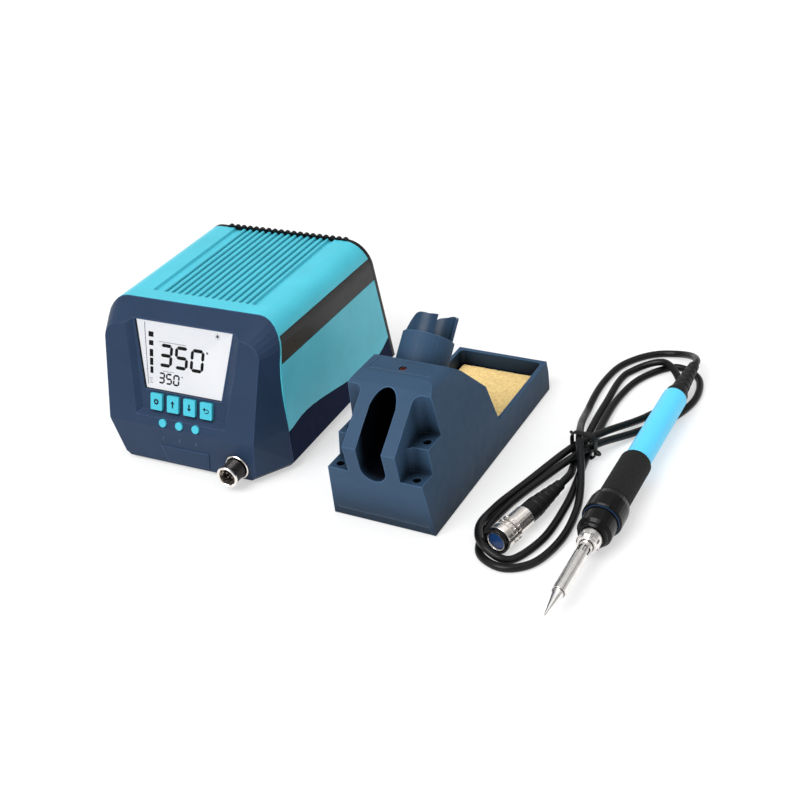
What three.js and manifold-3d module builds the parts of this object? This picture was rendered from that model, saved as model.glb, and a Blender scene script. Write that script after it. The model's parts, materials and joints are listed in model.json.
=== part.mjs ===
// Soldering iron station: a control unit, a holder stand, and the iron on its tied cord.
// Lengths are millimetres and angles are degrees. +Z is up and the bench is z = 0.
// Everything is laid out in bench coordinates: x = 0 is the middle of the control unit, its front
// faces -Y, and y = 0 lies near the seam behind the front moulding. At the end the assembly is
// moved so that its origin is the middle of its footprint.

import * as THREE from 'three';
import { mergeVertices } from 'three/addons/utils/BufferGeometryUtils.js';
import Module from 'manifold-3d';

const wasm = await Module();
wasm.setup();

// ================================================================ sizes

const GAP = 0.3;                     // between a piece and the seat that carries it
const PAST = 5;                      // how far a cutting solid runs past what it cuts

const UNIT = {
  halfWidth: 65,
  top: 102.5,
  floor: 2.5,                        // underside of the base, held up by the feet
  wall: 2.5,
  cornerAcross: 15.3,                // rounded upper corners
  cornerDown: 18.6,
  heel: 3,                           // small chamfer along the lower side edges
  depthAtTop: 115,
  rearSlope: 0.197,                  // how far the rear face comes out for each unit going down
  seamTop: 3.2,                      // the seam behind the front moulding: at the top edge,
  seamLow: -8.4,                     // and down the straight lower part of the side
  seamBend: 30,
};

const SIDE_LINE = {                  // height of the line between cover and base along the side
  front: 28.2,
  crown: 30.2,
  crownAt: 22,
  waist: 16.8,
  waistAt: 98,
  rear: 24.5,
};

const RIBS = {                       // ribs on the cover, level with it, in a recess with sloping sides
  count: 14,
  pitch: 5.1,
  firstX: -30.2,
  left: -38,                         // the recess reaches this far out on each side of them
  right: 41.6,
  groove: 2.6,
  lip: 3.9,                          // width of a groove where its rounded edges meet the top
  root: 2,
  depth: 1.7,
  lipDepth: 0.55,
  front: 13.8,
};

const STRIP = {                      // dark strip let into each side of the cover
  down: 11.4,                        // its upper edge lies this far below the top
  width: 16.5,
  drop: 1.8,                         // it falls this much towards the rear
  thickness: 0.8,
  behindSeam: 1.8,
};

const FRONT = {                      // front moulding
  lean: 17.9,                        // of the sloping face, from upright
  chinY: -33.6,
  chinBelow: 2.3,                    // from the middle of the round keys down the slope to the chin
  toeY: -31,
  browDown: 9.9,
  toeHalf: 50,
  chinHalf: 54.7,
  cheekHalf: 57.8,
  cornerAcross: 15,
  cornerDown: 10,
  wall: 2.8,
};

const RECESS = {                     // shallow recess for the display and the long keys
  topDown: 8,
  depth: 3.2,
  below: 0.8,                        // it ends this far below the long keys
  topHalf: 37.8,
  lowHalf: 30.2,
  flareTop: 5.6,
  flareLow: 3.6,
};

const WINDOW = {
  top: 0.5,
  low: 44,
  topHalf: 36.7,
  lowHalf: 28.8,
  thickness: 1.6,
  ledge: 1.6,
  seatDepth: 2.1,
};

const DISPLAY = { half: 36.5, top: 1.4, below: 0.6, thickness: 5.5 };

const KEYS = { pitch: 12.6, width: 8.8, height: 10.8, below: 2, proud: 1.9, corner: 0.7 };

const DOTS = { pitch: 12.5, radius: 2.75, below: 4.35, proud: 1.1 };

const PRESS = { travel: 1, flangeMargin: 0.9, flangeThickness: 1.2 };

const BOARD = { half: 33, top: 3, below: 4.6, thickness: 1.6, postX: 29, postRadius: 2.4, pushSwitch: 5 };

const PLAQUE = { topHalf: 18.5, lowHalf: 15.8, top: 17, low: 4.4, raised: 0.6 };

const SOCKET = {
  x: 38.5,
  z: 11.7,
  reach: 13,
  barrel: 6.6,
  rim: 7.2,
  rimLength: 1.6,
  flange: 8.3,
  flangeThickness: 1.6,
  neck: 5,
  tail: 10,
  mouth: 5.6,
  bore: 4.2,
  mouthDepth: 9.5,
  insert: 3.9,
  insertFront: 6,
  pin: 0.6,
  pinCircle: 2.4,
  pinCount: 5,
  nutAcross: 12.4,
  nutThickness: 2.4,
};

const REAR = {
  thickness: 3,
  bumpCount: 19,
  bumpPitch: 5.05,
  bumpRadius: 2,
  firstBumpX: -42,
  slotCount: 9,
  slotPitch: 6,
  slotWidth: 2.4,
  slotLength: 22,
  slotUp: 76,
};

const INLET = {
  x: 22,
  up: 34,
  half: 13.5,
  bodyHeight: 27.4,
  corner: 2,
  flangeHalf: 15.4,
  flangeHeight: 31,
  flangeThickness: 2,
  depth: 18,
  cavityHalf: 12,
  cavityHeight: 16.5,
  cavityUp: 4.2,
  cavityDepth: 15,
  bladeWidth: 4,
  bladeThickness: 2,
  bladeLength: 12,
};

const DRAWER = { half: 11, height: 6, down: 8.6, depth: 11.5, handle: 1.6, travel: 12 };

const ROCKER = {
  x: -25,
  up: 34,
  radius: 8.5,
  halfWidth: 5.2,
  tilt: 9,
  crown: 1.8,
  belly: 3.6,
  pivotUp: 0.2,
  frameWall: 1,
  flange: 2.2,
  flangeThickness: 1.7,
  depth: 13,
  cavityDepth: 5.5,
};

const FEET = { radius: 7, height: 2.5, x: 46, frontY: 2, rearY: 116, stud: 2.1, studLength: 2.2 };

const CORE = { width: 57, depth: 30, height: 48, leg: 9.5, y: 66, floor: 8 };

const COIL = { round: 7.5 };

const SUPPLY = { half: 46, front: 6, rear: 36, z: 11, thickness: 1.6, postRadius: 2.4, postInset: 4 };

const CAPACITOR = { radius: 6.5, height: 20, xs: [-30, -12] };

const HEAT_SINK = { x: 26, width: 24, depth: 8, height: 16 };

const STAND = {
  x: 145.5,
  y: -41.2,
  turn: -1.5,
  half: 34,
  draft: 0.08,                       // how much each side leans in for each unit of height
  bottom: 0.8,
  wall: 2.5,
  lowFrontY: -4.9,
  lowFrontZ: 38,
  noseY: -8,
  noseZ: 56,
  browY: 16,
  browZ: 76,
  shoulderY: 24,
  shoulderZ: 81.6,
  deckFrontY: 31,
  deckRearY: 48.5,
  deckZ: 85,
  backY: 60,
  backZ: 76.4,
  shelfY: 86,
  shelfZ: 51,
  rimY: 96,
  rimZ: 21.3,
  rearTopY: 172.8,
  rearLowY: 174.6,
  deckRound: 7,
  cornerRadius: 4,
};

const SLOT = { half: 8.3, top: 81, low: 34, rearY: 44 };

const LEDGES = {                     // shelves for spare tips, cut into both front corners
  inner: 17,
  corner: 4.5,
  upperZ: 53.5,
  upperBack: 25.5,
  upperBackTop: 22,
  lowerZ: 37.6,
  lowerBack: 9,
  hole: 2.6,
  holeX: 25,
  upperHoleY: 16.5,
  lowerHoleY: 0.6,
  holeDepth: 8,
};

const HOLDER = {
  x: -3.6,
  y: 67.4,
  z: 69.4,
  tilt: 45,
  collar: 16.1,
  collarHeight: 18,
  bore: 14.9,
  boreDepth: 20,
  sleeveBore: 12.3,
  sleeveRise: 15.5,
  chamber: 9.8,
  chamberDepth: 58,
  cutFrom: -9,                       // the mouth is cut away on its left side
  cutTo: -3.5,
  cutLow: 1,
  cutHigh: 10.5,
};

const DECK_PLATE = {
  half: 17.6,
  taper: 2,
  front: 34.6,
  rear: 46.8,
  thickness: 1.5,
  hole: 2.6,
  holeX: 0.8,
  holeY: 39,
};

const TRAY = { front: 98.5, half: 29.6, rearWall: 2.8, floor: 3.4, corner: 3 };

const SPONGE = { thickness: 7.5, around: 1.2 };

const PADS = { radius: 5, x: 24, frontY: 9, rearY: 163, thickness: 1.8 };

const IRON = { tipX: 267.4, tipY: -98.3, heading: 89.05, axisZ: 13.1 };

const TIP = {
  point: 0.35,
  coneEnd: 17,
  cone: 2.75,
  shank: 3.2,
  shankStart: 19,
  shankEnd: 60,
  bore: 2.3,
  boreStart: 25,
};

const BARREL = {
  start: 20,
  end: 65.8,
  bore: 3.5,
  outer: 3.95,
  flange: 5.2,
  flangeStart: 64.4,
  slotCount: 8,                      // a ring of vent slots near the rear end
  slotWidth: 1.9,
  slotLength: 5.4,
  slotAt: 55.5,
  slotTurn: 24,
};

const NUT = {
  start: 61.6,
  neck: 5.9,
  neckEnd: 62.8,
  outer: 6.6,
  bore: 5.6,
  neckBore: 4.3,
  length: 8,
};

const NOSE = {                       // the iron's front moulding, from its threaded stub backwards
  stub: 5.3,
  face: 8.6,
  faceLength: 2.6,
  cap: 10.2,
  capEnd: 84.2,
  groove: 10.6,                      // seat of the coloured ring
  grooveEnd: 85.4,
  flange: 11.9,
  flangeEnd: 97.5,
  rear: 10.4,
  end: 103,
};

const HEATER = { radius: 1.9, start: 25.5, end: 92 };

const GRIP = { start: 103.3, end: 146, outer: 9.8, bore: 7.4, edge: 1.2 };

const HANDLE = { front: 103.3, slim: 7.1, shoulder: 146.4, radius: 8, end: 222.3, boreEnd: 12, bore: 5.2 };

const BOOT = {
  start: 222.7,
  plug: 4.9,
  plugDepth: 10,
  collar: 7.2,
  collarEnd: 227,
  from: 5.9,
  to: 3.8,
  end: 264.2,
};

const PLUG = {
  x: 217.7,
  y: -44.7,
  heading: 76.6,
  ring: 8,
  ringClearance: 0.2,                // between the ring's bore and the socket's rim
  ringEnd: 15.5,
  shell: 6.7,
  shellNeck: 7,
  shellStart: 12,
  shellEnd: 28.6,
  insert: 5.3,
  insertFront: 1.6,
  bootFrom: 6.2,
  bootTo: 3.6,
  bootLength: 36.2,
};

const CORD = { radius: 2.4, sides: 10, steps: 80 };

const TIE = { x: 232.3, y: 61.5, heading: 82, half: 8.5, height: 17.4, band: 0.7, width: 3, corner: 4 };

// The cord as it lies on the bench, from the rear of the iron to the rear of the plug. It is
// folded into a bundle that the tie holds at the waist, and lifts wherever it crosses itself.
const CORD_ROUTE = [
  [271.4, 175, 12],
  [265, 187, 8],
  [253, 194.5, 3.6],
  [238, 191.5, 2.4],
  [222, 173, 2.4],
  [216.5, 147, 2.4],
  [218, 110, 2.4],
  [222.5, 85, 8.5],
  [229.5, 62, 14],
  [234, 50, 13.4],
  [239.5, 36, 9.4],
  [247, 9, 2.6],
  [248.5, -25, 2.4],
  [240.5, -49.5, 2.4],
  [227, -57.5, 2.4],
  [211.5, -51.5, 2.4],
  [205.8, -37, 2.4],
  [207.5, -7, 2.4],
  [219.5, 28, 4.4],
  [236.5, 60.5, 8.7],
  [256, 93.5, 3.4],
  [273.5, 120.5, 2.4],
  [279.5, 146, 2.4],
  [273.5, 170, 2.4],
  [257, 179, 2.4],
  [240, 161, 2.4],
  [232.3, 131, 2.4],
  [235, 64, 3.7],
  [240.3, 8, 2.4],
  [238, -30, 2.4],
  [227, -51, 2.9],
  [211.5, -48, 7.4],
  [203.5, -35, 7.4],
  [201.5, -10, 2.6],
  [211.5, 23, 3.6],
  [228, 61, 8.7],
  [238.5, 79, 8.3],
  [255, 112, 2.4],
  [270.5, 141, 2.4],
  [250, 174, 7.8],
  [229.5, 165, 2.4],
  [226.3, 120, 2.4],
  [229.6, 64, 3.7],
  [231, 46, 3.2],
  [234.4, 31, 7.6],
];

const COLOUR = {
  teal: 0x5cc8d8,
  navy: 0x333e5f,
  deepNavy: 0x16204a,
  black: 0x1b1b1d,
  strip: 0x3a3432,
  slate: 0x3b5270,
  keyTeal: 0x58cfe2,
  sky: 0x62cbf2,
  foam: 0x2c2c2c,
  sponge: 0xf0cf82,
  steel: 0xc9c6c0,
  copper: 0xb26b3c,
  board: 0x1f6a43,
  blue: 0x24519c,
  glass: 0xdfe7ee,
  white: 0xf0eee8,
};

function plastic(colour, roughness = 0.5) {
  return new THREE.MeshStandardMaterial({ color: colour, roughness, metalness: 0 });
}

function metal(colour, roughness = 0.3) {
  return new THREE.MeshStandardMaterial({ color: colour, roughness, metalness: 1 });
}

// ================================================================ solids

const radians = THREE.MathUtils.degToRad;

// A closed geometry becomes a solid for joining and cutting, with its faces turned outwards.
function solid(geometry) {
  const bare = geometry.clone();
  bare.deleteAttribute('normal');
  bare.deleteAttribute('uv');
  const merged = mergeVertices(bare, 1e-4);
  const corners = merged.attributes.position.array;
  const faces = [];
  let volume = 0;
  for (let i = 0; i < merged.index.count; i += 3) {
    const [a, b, c] = [0, 1, 2].map((k) => merged.index.getX(i + k));
    if (a === b || b === c || c === a) continue;
    faces.push([a, b, c]);
    const [p, q, r] = [a, b, c].map((k) => new THREE.Vector3().fromArray(corners, 3 * k));
    volume += p.dot(q.cross(r));
  }
  const triVerts = Uint32Array.from(faces.flatMap(([a, b, c]) => (volume < 0 ? [a, c, b] : [a, b, c])));
  return new wasm.Manifold(new wasm.Mesh({ numProp: 3, vertProperties: corners, triVerts }));
}

function piece(parent, name, body, material) {
  const made = body.getMesh();
  const geometry = new THREE.BufferGeometry();
  geometry.setAttribute('position', new THREE.BufferAttribute(made.vertProperties, 3));
  geometry.setIndex(new THREE.BufferAttribute(made.triVerts, 1));
  const mesh = new THREE.Mesh(geometry, material);
  mesh.name = name;
  parent.add(mesh);
}

function joined(bodies) {
  return bodies.reduce((whole, body) => whole.add(body));
}

function cut(body, cutters) {
  return cutters.reduce((rest, cutter) => rest.subtract(cutter), body);
}

function hullOf(bodies) {
  return wasm.Manifold.hull(bodies);
}

function common(bodies) {
  return bodies.reduce((rest, body) => rest.intersect(body));
}

// ================================================================ outlines

function polygon(points) {
  return new THREE.Shape(points.map(([a, b]) => new THREE.Vector2(a, b)));
}

function rectangle(width, height, corner = 0, x = 0, y = 0) {
  const w = width / 2;
  const h = height / 2;
  if (corner === 0) {
    return polygon([[x - w, y - h], [x + w, y - h], [x + w, y + h], [x - w, y + h]]);
  }
  const shape = new THREE.Shape();
  shape.absarc(x + w - corner, y + h - corner, corner, 0, Math.PI / 2);
  shape.absarc(x - w + corner, y + h - corner, corner, Math.PI / 2, Math.PI);
  shape.absarc(x - w + corner, y - h + corner, corner, Math.PI, 1.5 * Math.PI);
  shape.absarc(x + w - corner, y - h + corner, corner, 1.5 * Math.PI, 2 * Math.PI);
  return shape;
}

function circle(radius, x = 0, y = 0) {
  return new THREE.Shape().absarc(x, y, radius, 0, 2 * Math.PI);
}

function hexagon(across) {
  const reach = across / 2 / Math.cos(radians(30));
  return polygon([0, 60, 120, 180, 240, 300].map((angle) => (
    [reach * Math.cos(radians(angle)), reach * Math.sin(radians(angle))]
  )));
}

// A trapezoid that is symmetric about x = 0.
function trapezoid(halfTop, top, halfLow, low) {
  return polygon([[-halfLow, low], [halfLow, low], [halfTop, top], [-halfTop, top]]);
}

// The same outline, given counter-clockwise, with every side moved inwards.
function inset(points, distance) {
  const count = points.length;
  const sides = points.map(([x, y], i) => {
    const [nextX, nextY] = points[(i + 1) % count];
    const alongX = nextX - x;
    const alongY = nextY - y;
    const length = Math.hypot(alongX, alongY);
    return { x: x - (alongY / length) * distance, y: y + (alongX / length) * distance, alongX, alongY };
  });
  return sides.map((side, i) => {
    const before = sides[(i + count - 1) % count];
    const turn = before.alongX * side.alongY - before.alongY * side.alongX;
    const share = ((side.x - before.x) * side.alongY - (side.y - before.y) * side.alongX) / turn;
    return [before.x + before.alongX * share, before.y + before.alongY * share];
  });
}

// ================================================================ prisms, revolved bodies, lofts

function extruded(shape, depth, curveSegments) {
  return new THREE.ExtrudeGeometry(shape, { depth, curveSegments, bevelEnabled: false });
}

const FRONT_VIEW = new THREE.Matrix4().makeBasis(
  new THREE.Vector3(1, 0, 0),
  new THREE.Vector3(0, 0, 1),
  new THREE.Vector3(0, -1, 0),
);

const SIDE_VIEW = new THREE.Matrix4().makeBasis(
  new THREE.Vector3(0, 1, 0),
  new THREE.Vector3(0, 0, 1),
  new THREE.Vector3(1, 0, 0),
);

// The shape lies in x and y, and the prism stands from z0 to z1.
function prismZ(shape, z0, z1, curveSegments = 8) {
  return extruded(shape, z1 - z0, curveSegments).translate(0, 0, z0);
}

// The shape is drawn in x and z, as seen from the front, and the prism runs from y0 to y1.
function prismY(shape, y0, y1, curveSegments = 8) {
  return extruded(shape, y1 - y0, curveSegments).applyMatrix4(FRONT_VIEW).translate(0, y1, 0);
}

// The shape is drawn in y and z, as seen from the side, and the prism runs from x0 to x1.
function prismX(shape, x0, x1, curveSegments = 8) {
  return extruded(shape, x1 - x0, curveSegments).applyMatrix4(SIDE_VIEW).translate(x0, 0, 0);
}

function block(x0, x1, y0, y1, z0, z1) {
  return new THREE.BoxGeometry(x1 - x0, y1 - y0, z1 - z0)
    .translate((x0 + x1) / 2, (y0 + y1) / 2, (z0 + z1) / 2);
}

// A body revolved about the y axis. Each point is a radius and a distance along the axis.
function revolved(points, segments) {
  return new THREE.LatheGeometry(points.map(([radius, along]) => new THREE.Vector2(radius, along)), segments);
}

function rod(radius, from, to, segments = 20) {
  return revolved([[0, from], [radius, from], [radius, to], [0, to]], segments);
}

function hollow(points, segments) {
  return revolved([...points, points[0]], segments);
}

// A closed skin through rings that have the same number of points, with a fan over each end.
function loft(rings) {
  const count = rings[0].length;
  const ends = [rings[0], rings.at(-1)].map((ring) => (
    ring.reduce((sum, point) => sum.add(point), new THREE.Vector3()).divideScalar(count)
  ));
  const points = [...rings.flat(), ...ends];
  const [firstMiddle, lastMiddle] = [points.length - 2, points.length - 1];
  const lastRing = (rings.length - 1) * count;
  const index = [];
  for (let i = 0; i < count; i += 1) {
    const next = (i + 1) % count;
    for (let row = 0; row < lastRing; row += count) {
      index.push(row + i, row + next, row + next + count);
      index.push(row + i, row + next + count, row + i + count);
    }
    index.push(firstMiddle, next, i);
    index.push(lastMiddle, lastRing + i, lastRing + next);
  }
  const geometry = new THREE.BufferGeometry().setFromPoints(points);
  return geometry.setIndex(index);
}

// ================================================================ control unit: shared forms

const assembly = new THREE.Group();

function group(matrix) {
  const made = new THREE.Group();
  made.applyMatrix4(matrix);
  assembly.add(made);
  return made;
}

const wide = UNIT.halfWidth + 2 * PAST;
const unitRear = UNIT.depthAtTop + UNIT.rearSlope * (UNIT.top + PAST);
const unitFront = FRONT.chinY - PAST;

function rearY(z) {
  return UNIT.depthAtTop + UNIT.rearSlope * (UNIT.top - z);
}

// The seam is upright low on the side and leans back more and more towards the top.
function seamY(z) {
  const height = Math.max(0, (z - UNIT.seamBend) / (UNIT.top - UNIT.seamBend));
  return UNIT.seamLow + (UNIT.seamTop - UNIT.seamLow) * height ** 3;
}

function seamLine(offset) {
  const points = [[seamY(0) + offset, -PAST]];
  for (let i = 0; i <= 9; i += 1) {
    const z = UNIT.seamBend + (i / 8) * (UNIT.top - UNIT.seamBend);
    points.push([seamY(z) + offset, z]);
  }
  return points;
}

// Front view of the unit, moved inwards by the given distance.
function unitOutline(inward) {
  const side = UNIT.halfWidth - inward;
  const top = UNIT.top - inward;
  const low = UNIT.floor + inward;
  const across = UNIT.cornerAcross - inward;
  const down = UNIT.cornerDown - inward;
  const shape = new THREE.Shape();
  shape.moveTo(side - UNIT.heel, low);
  shape.lineTo(side, low + UNIT.heel);
  shape.absellipse(side - across, top - down, across, down, 0, Math.PI / 2);
  shape.absellipse(across - side, top - down, across, down, Math.PI / 2, Math.PI);
  shape.lineTo(-side, low + UNIT.heel);
  shape.lineTo(UNIT.heel - side, low);
  return shape;
}

function unitSolid(inward) {
  return solid(prismY(unitOutline(inward), unitFront, unitRear));
}

// Everything between two distances in front of the rear face.
function rearSlab(front, back) {
  const outline = polygon([
    [rearY(-PAST) - front, -PAST],
    [rearY(-PAST) - back, -PAST],
    [rearY(UNIT.top + PAST) - back, UNIT.top + PAST],
    [rearY(UNIT.top + PAST) - front, UNIT.top + PAST],
  ]);
  return solid(prismX(outline, -wide, wide));
}

const behindSeam = solid(prismX(
  polygon([...seamLine(GAP).reverse(), [unitRear + wide, -PAST], [unitRear + wide, UNIT.top + 2 * PAST]].reverse()),
  -wide,
  wide,
));
const bodyLength = rearSlab(2 * unitRear, REAR.thickness + GAP).intersect(behindSeam);
const bodyOuter = unitSolid(0).intersect(bodyLength);
const bodyShell = bodyOuter.subtract(unitSolid(UNIT.wall));

// Everything on one side of the wavy line along the sides, up to the given level.
function sideLineSolid(offset, level) {
  const line = new THREE.SplineCurve([
    new THREE.Vector2(unitFront, SIDE_LINE.front),
    new THREE.Vector2(UNIT.seamLow, SIDE_LINE.front),
    new THREE.Vector2(SIDE_LINE.crownAt, SIDE_LINE.crown),
    new THREE.Vector2(SIDE_LINE.waistAt, SIDE_LINE.waist),
    new THREE.Vector2(rearY(SIDE_LINE.rear), SIDE_LINE.rear),
    new THREE.Vector2(unitRear + 4 * PAST, SIDE_LINE.rear + 3 * PAST),
  ]).getPoints(30);
  const shape = new THREE.Shape(line.map((point) => new THREE.Vector2(point.x, point.y + offset)));
  shape.lineTo(line.at(-1).x, level);
  shape.lineTo(line[0].x, level);
  return solid(prismX(shape, -wide, wide));
}

// ================================================================ control unit: cover and strips

// A groove with a rounded front end and edges that open out towards the top.
function groove(x) {
  const ringAt = (width, z) => {
    const radius = width / 2;
    const arc = [0, 1, 2, 3, 4, 5, 6].map((i) => {
      const angle = Math.PI * (1 + i / 6);
      return new THREE.Vector3(x + radius * Math.cos(angle), RIBS.front + radius * (1 + Math.sin(angle)), z);
    });
    return [...arc, new THREE.Vector3(x + radius, unitRear, z), new THREE.Vector3(x - radius, unitRear, z)];
  };
  return solid(loft([
    ringAt(RIBS.root, UNIT.top - RIBS.depth),
    ringAt(RIBS.groove, UNIT.top - RIBS.lipDepth),
    ringAt(RIBS.lip, UNIT.top),
    ringAt(RIBS.lip, UNIT.top + PAST),
  ]));
}

function stripBand(around, depth) {
  const high = UNIT.top - STRIP.down + around;
  const low = high - STRIP.width - 2 * around;
  const front = STRIP.behindSeam - around;
  const outline = polygon([
    [seamY(low) + front, low],
    [unitRear, low - STRIP.drop],
    [unitRear, high - STRIP.drop],
    [seamY(high) + front, high],
  ]);
  const skin = unitSolid(-PAST).subtract(unitSolid(depth));
  return solid(prismX(outline, -wide, wide)).intersect(skin);
}

function makeCover() {
  const gaps = Array.from({ length: RIBS.count + 1 }, (_, i) => groove(RIBS.firstX + (i - 0.5) * RIBS.pitch));
  const leftEdge = groove(RIBS.left + RIBS.lip / 2);
  const rightEdge = groove(RIBS.right - RIBS.lip / 2);
  const grooves = [...gaps, hullOf([leftEdge, gaps[0]]), hullOf([rightEdge, gaps[RIBS.count]])];
  const upper = bodyShell.intersect(sideLineSolid(GAP / 2, UNIT.top + 2 * PAST));
  const seat = stripBand(GAP, STRIP.thickness + GAP);
  piece(assembly, 'top_cover', cut(upper, [...grooves, seat]), plastic(COLOUR.teal, 0.38));
}

function makeStrips() {
  const both = stripBand(0, STRIP.thickness).intersect(bodyOuter);
  for (const [name, side] of [['side_strip_right', 1], ['side_strip_left', -1]]) {
    const half = solid(block(0, wide, unitFront, unitRear, 0, UNIT.top).scale(side, 1, 1));
    piece(assembly, name, both.intersect(half), plastic(COLOUR.strip, 0.45));
  }
}

// ================================================================ control unit: base and feet

const footPlaces = [FEET.frontY, FEET.rearY].flatMap((y) => [[-FEET.x, y], [FEET.x, y]]);

function makeBase() {
  const lower = bodyShell.intersect(sideLineSolid(-GAP / 2, -2 * PAST));
  const floorTop = UNIT.floor + UNIT.wall;
  const rootZ = floorTop - 1;
  const rails = [-1, 1].map((side) => {
    const x = side * (CORE.width / 2 - CORE.leg / 2);
    const half = CORE.depth / 2;
    return solid(block(x - 4, x + 4, CORE.y - half, CORE.y + half, rootZ, CORE.floor - GAP));
  });
  const posts = supplyPosts().map(([x, y]) => (
    solid(prismZ(circle(SUPPLY.postRadius, x, y), rootZ, SUPPLY.z - GAP, 4))
  ));
  const holes = footPlaces.map(([x, y]) => (
    solid(prismZ(circle(FEET.stud + GAP, x, y), 0, floorTop + PAST, 4))
  ));
  piece(assembly, 'base_tray', cut(joined([lower, ...rails, ...posts]), holes), plastic(COLOUR.deepNavy));
}

function makeFeet() {
  footPlaces.forEach(([x, y], i) => {
    const pad = solid(prismZ(circle(FEET.radius, x, y), 0, FEET.height - GAP, 6));
    const stud = solid(prismZ(circle(FEET.stud, x, y), 1, FEET.height + FEET.studLength, 4));
    piece(assembly, `foot_${i + 1}`, pad.add(stud), plastic(COLOUR.black, 0.85));
  });
}

// ================================================================ control unit: front moulding

const leanTangent = Math.tan(radians(FRONT.lean));
const leanCosine = Math.cos(radians(FRONT.lean));

// Distances down the slope from the top of the recess, each from the piece above.
const displayLow = WINDOW.low + DISPLAY.below;
const keysDown = WINDOW.low + KEYS.below + KEYS.height / 2;
const recessEnd = keysDown + KEYS.height / 2 + RECESS.below;
const dotsDown = keysDown + KEYS.height / 2 + DOTS.below + DOTS.radius;
const boardLow = dotsDown + BOARD.below;

const recessTopZ = UNIT.top - RECESS.topDown;
const browZ = UNIT.top - FRONT.browDown;
const chinZ = recessTopZ - (dotsDown + FRONT.chinBelow) * leanCosine;

// Sloping face of the front moulding, or a surface at some depth behind it.
function faceY(z, depth = 0) {
  return FRONT.chinY + leanTangent * (z - chinZ) + depth / leanCosine;
}

// The panel frame lies on the floor of the recess: x to the right, y up the slope, z outwards.
const panelFrame = new THREE.Matrix4()
  .makeRotationX(radians(90 - FRONT.lean))
  .setPosition(0, faceY(recessTopZ, RECESS.depth), recessTopZ);

function inPanel(geometry) {
  return solid(geometry.applyMatrix4(panelFrame));
}

// Right half of an outline with one rounded upper corner, completed to the left by mirroring.
function mirrored(lowPoints, side, top, across, down) {
  const corner = [0, 1, 2, 3, 4, 5, 6].map((i) => {
    const angle = (i / 6) * (Math.PI / 2);
    return [side - across * (1 - Math.cos(angle)), top - down * (1 - Math.sin(angle))];
  });
  const right = [...lowPoints, ...corner];
  return [...right, ...right.map(([x, z]) => [-x, z]).reverse()];
}

// The moulding runs from the outline of the unit at the seam to a smaller outline at its face.
function frontForm(inward) {
  const low = UNIT.floor + inward;
  const atSeam = mirrored(
    [
      [UNIT.halfWidth - UNIT.heel - inward, low],
      [UNIT.halfWidth - inward, low + UNIT.heel],
      [UNIT.halfWidth - inward, chinZ],
    ],
    UNIT.halfWidth - inward,
    UNIT.top - inward,
    UNIT.cornerAcross - inward,
    UNIT.cornerDown - inward,
  );
  const atFace = mirrored(
    [
      [FRONT.toeHalf - UNIT.heel - inward, low],
      [FRONT.toeHalf - inward, low + UNIT.heel],
      [FRONT.chinHalf - inward, chinZ],
    ],
    FRONT.cheekHalf - inward,
    browZ - inward,
    FRONT.cornerAcross - inward,
    FRONT.cornerDown - inward,
  );
  const toeSlope = (FRONT.chinY - FRONT.toeY) / (chinZ - UNIT.floor);
  const lowerFace = (z) => FRONT.toeY + toeSlope * (z - UNIT.floor);
  const seamRing = atSeam.map(([x, z]) => new THREE.Vector3(x, seamY(z), z));
  const faceRing = atFace.map(([x, z]) => new THREE.Vector3(x, z < chinZ ? lowerFace(z) : faceY(z), z));
  const rearRing = seamRing.map((point) => new THREE.Vector3(point.x, UNIT.seamTop + PAST, point.z));
  const pastRing = faceRing.map((point, i) => point.clone().lerp(seamRing[i], -0.4));
  return solid(loft([rearRing, seamRing, faceRing, pastRing]));
}

// Everything behind the straight line from one side-view point to another, moved back by a depth.
function behindLine([y0, z0], [y1, z1], depth) {
  const length = Math.hypot(y1 - y0, z1 - z0);
  const along = new THREE.Vector2((y1 - y0) / length, (z1 - z0) / length);
  const back = new THREE.Vector2(along.y, -along.x);
  const reach = 2 * wide;
  const corner = (alongBy, backBy) => new THREE.Vector2(y0, z0)
    .addScaledVector(along, alongBy)
    .addScaledVector(back, depth + backBy);
  const shape = new THREE.Shape([
    corner(-reach, 0),
    corner(-reach, reach),
    corner(length + reach, reach),
    corner(length + reach, 0),
  ]);
  return solid(prismX(shape, -wide, wide));
}

const toe = [FRONT.toeY, UNIT.floor];
const chin = [FRONT.chinY, chinZ];
const brow = [faceY(browZ), browZ];

function frontBlank(raised) {
  const beforeSeam = solid(prismX(
    polygon([...seamLine(0), [unitFront - PAST, UNIT.top + 2 * PAST], [unitFront - PAST, -PAST]]),
    -wide,
    wide,
  ));
  return common([frontForm(0), behindLine(chin, brow, -raised), behindLine(toe, chin, -raised), beforeSeam]);
}

function frontCavity() {
  const wall = FRONT.wall;
  return common([
    frontForm(wall),
    behindLine(chin, brow, RECESS.depth + wall),
    behindLine(toe, chin, wall),
  ]);
}

function recessCutter() {
  const ringAt = (z, flare) => {
    const top = RECESS.topHalf + RECESS.flareTop * flare;
    const low = RECESS.lowHalf + RECESS.flareLow * flare;
    const end = -recessEnd - RECESS.flareLow * flare;
    const rise = 3 * PAST;
    const spread = (top - low) * (rise / recessEnd);
    return [[-low, end], [low, end], [top + spread, rise], [-top - spread, rise]]
      .map(([x, y]) => new THREE.Vector3(x, y, z));
  };
  return inPanel(loft([ringAt(0, 0), ringAt(2 * RECESS.depth, 2)]));
}

const keyXs = [-1.5, -0.5, 0.5, 1.5].map((i) => i * KEYS.pitch);
const dotXs = [-1, 0, 1].map((i) => i * DOTS.pitch);

function keyOutline(x, around, corner = KEYS.corner + around) {
  return rectangle(KEYS.width + 2 * around, KEYS.height + 2 * around, corner, x, -keysDown);
}

function dotOutline(x, around) {
  return circle(DOTS.radius + around, x, -dotsDown);
}

function windowOutline(around) {
  const low = -WINDOW.low - around;
  return trapezoid(WINDOW.topHalf + around, around - WINDOW.top, WINDOW.lowHalf + around, low);
}

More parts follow.
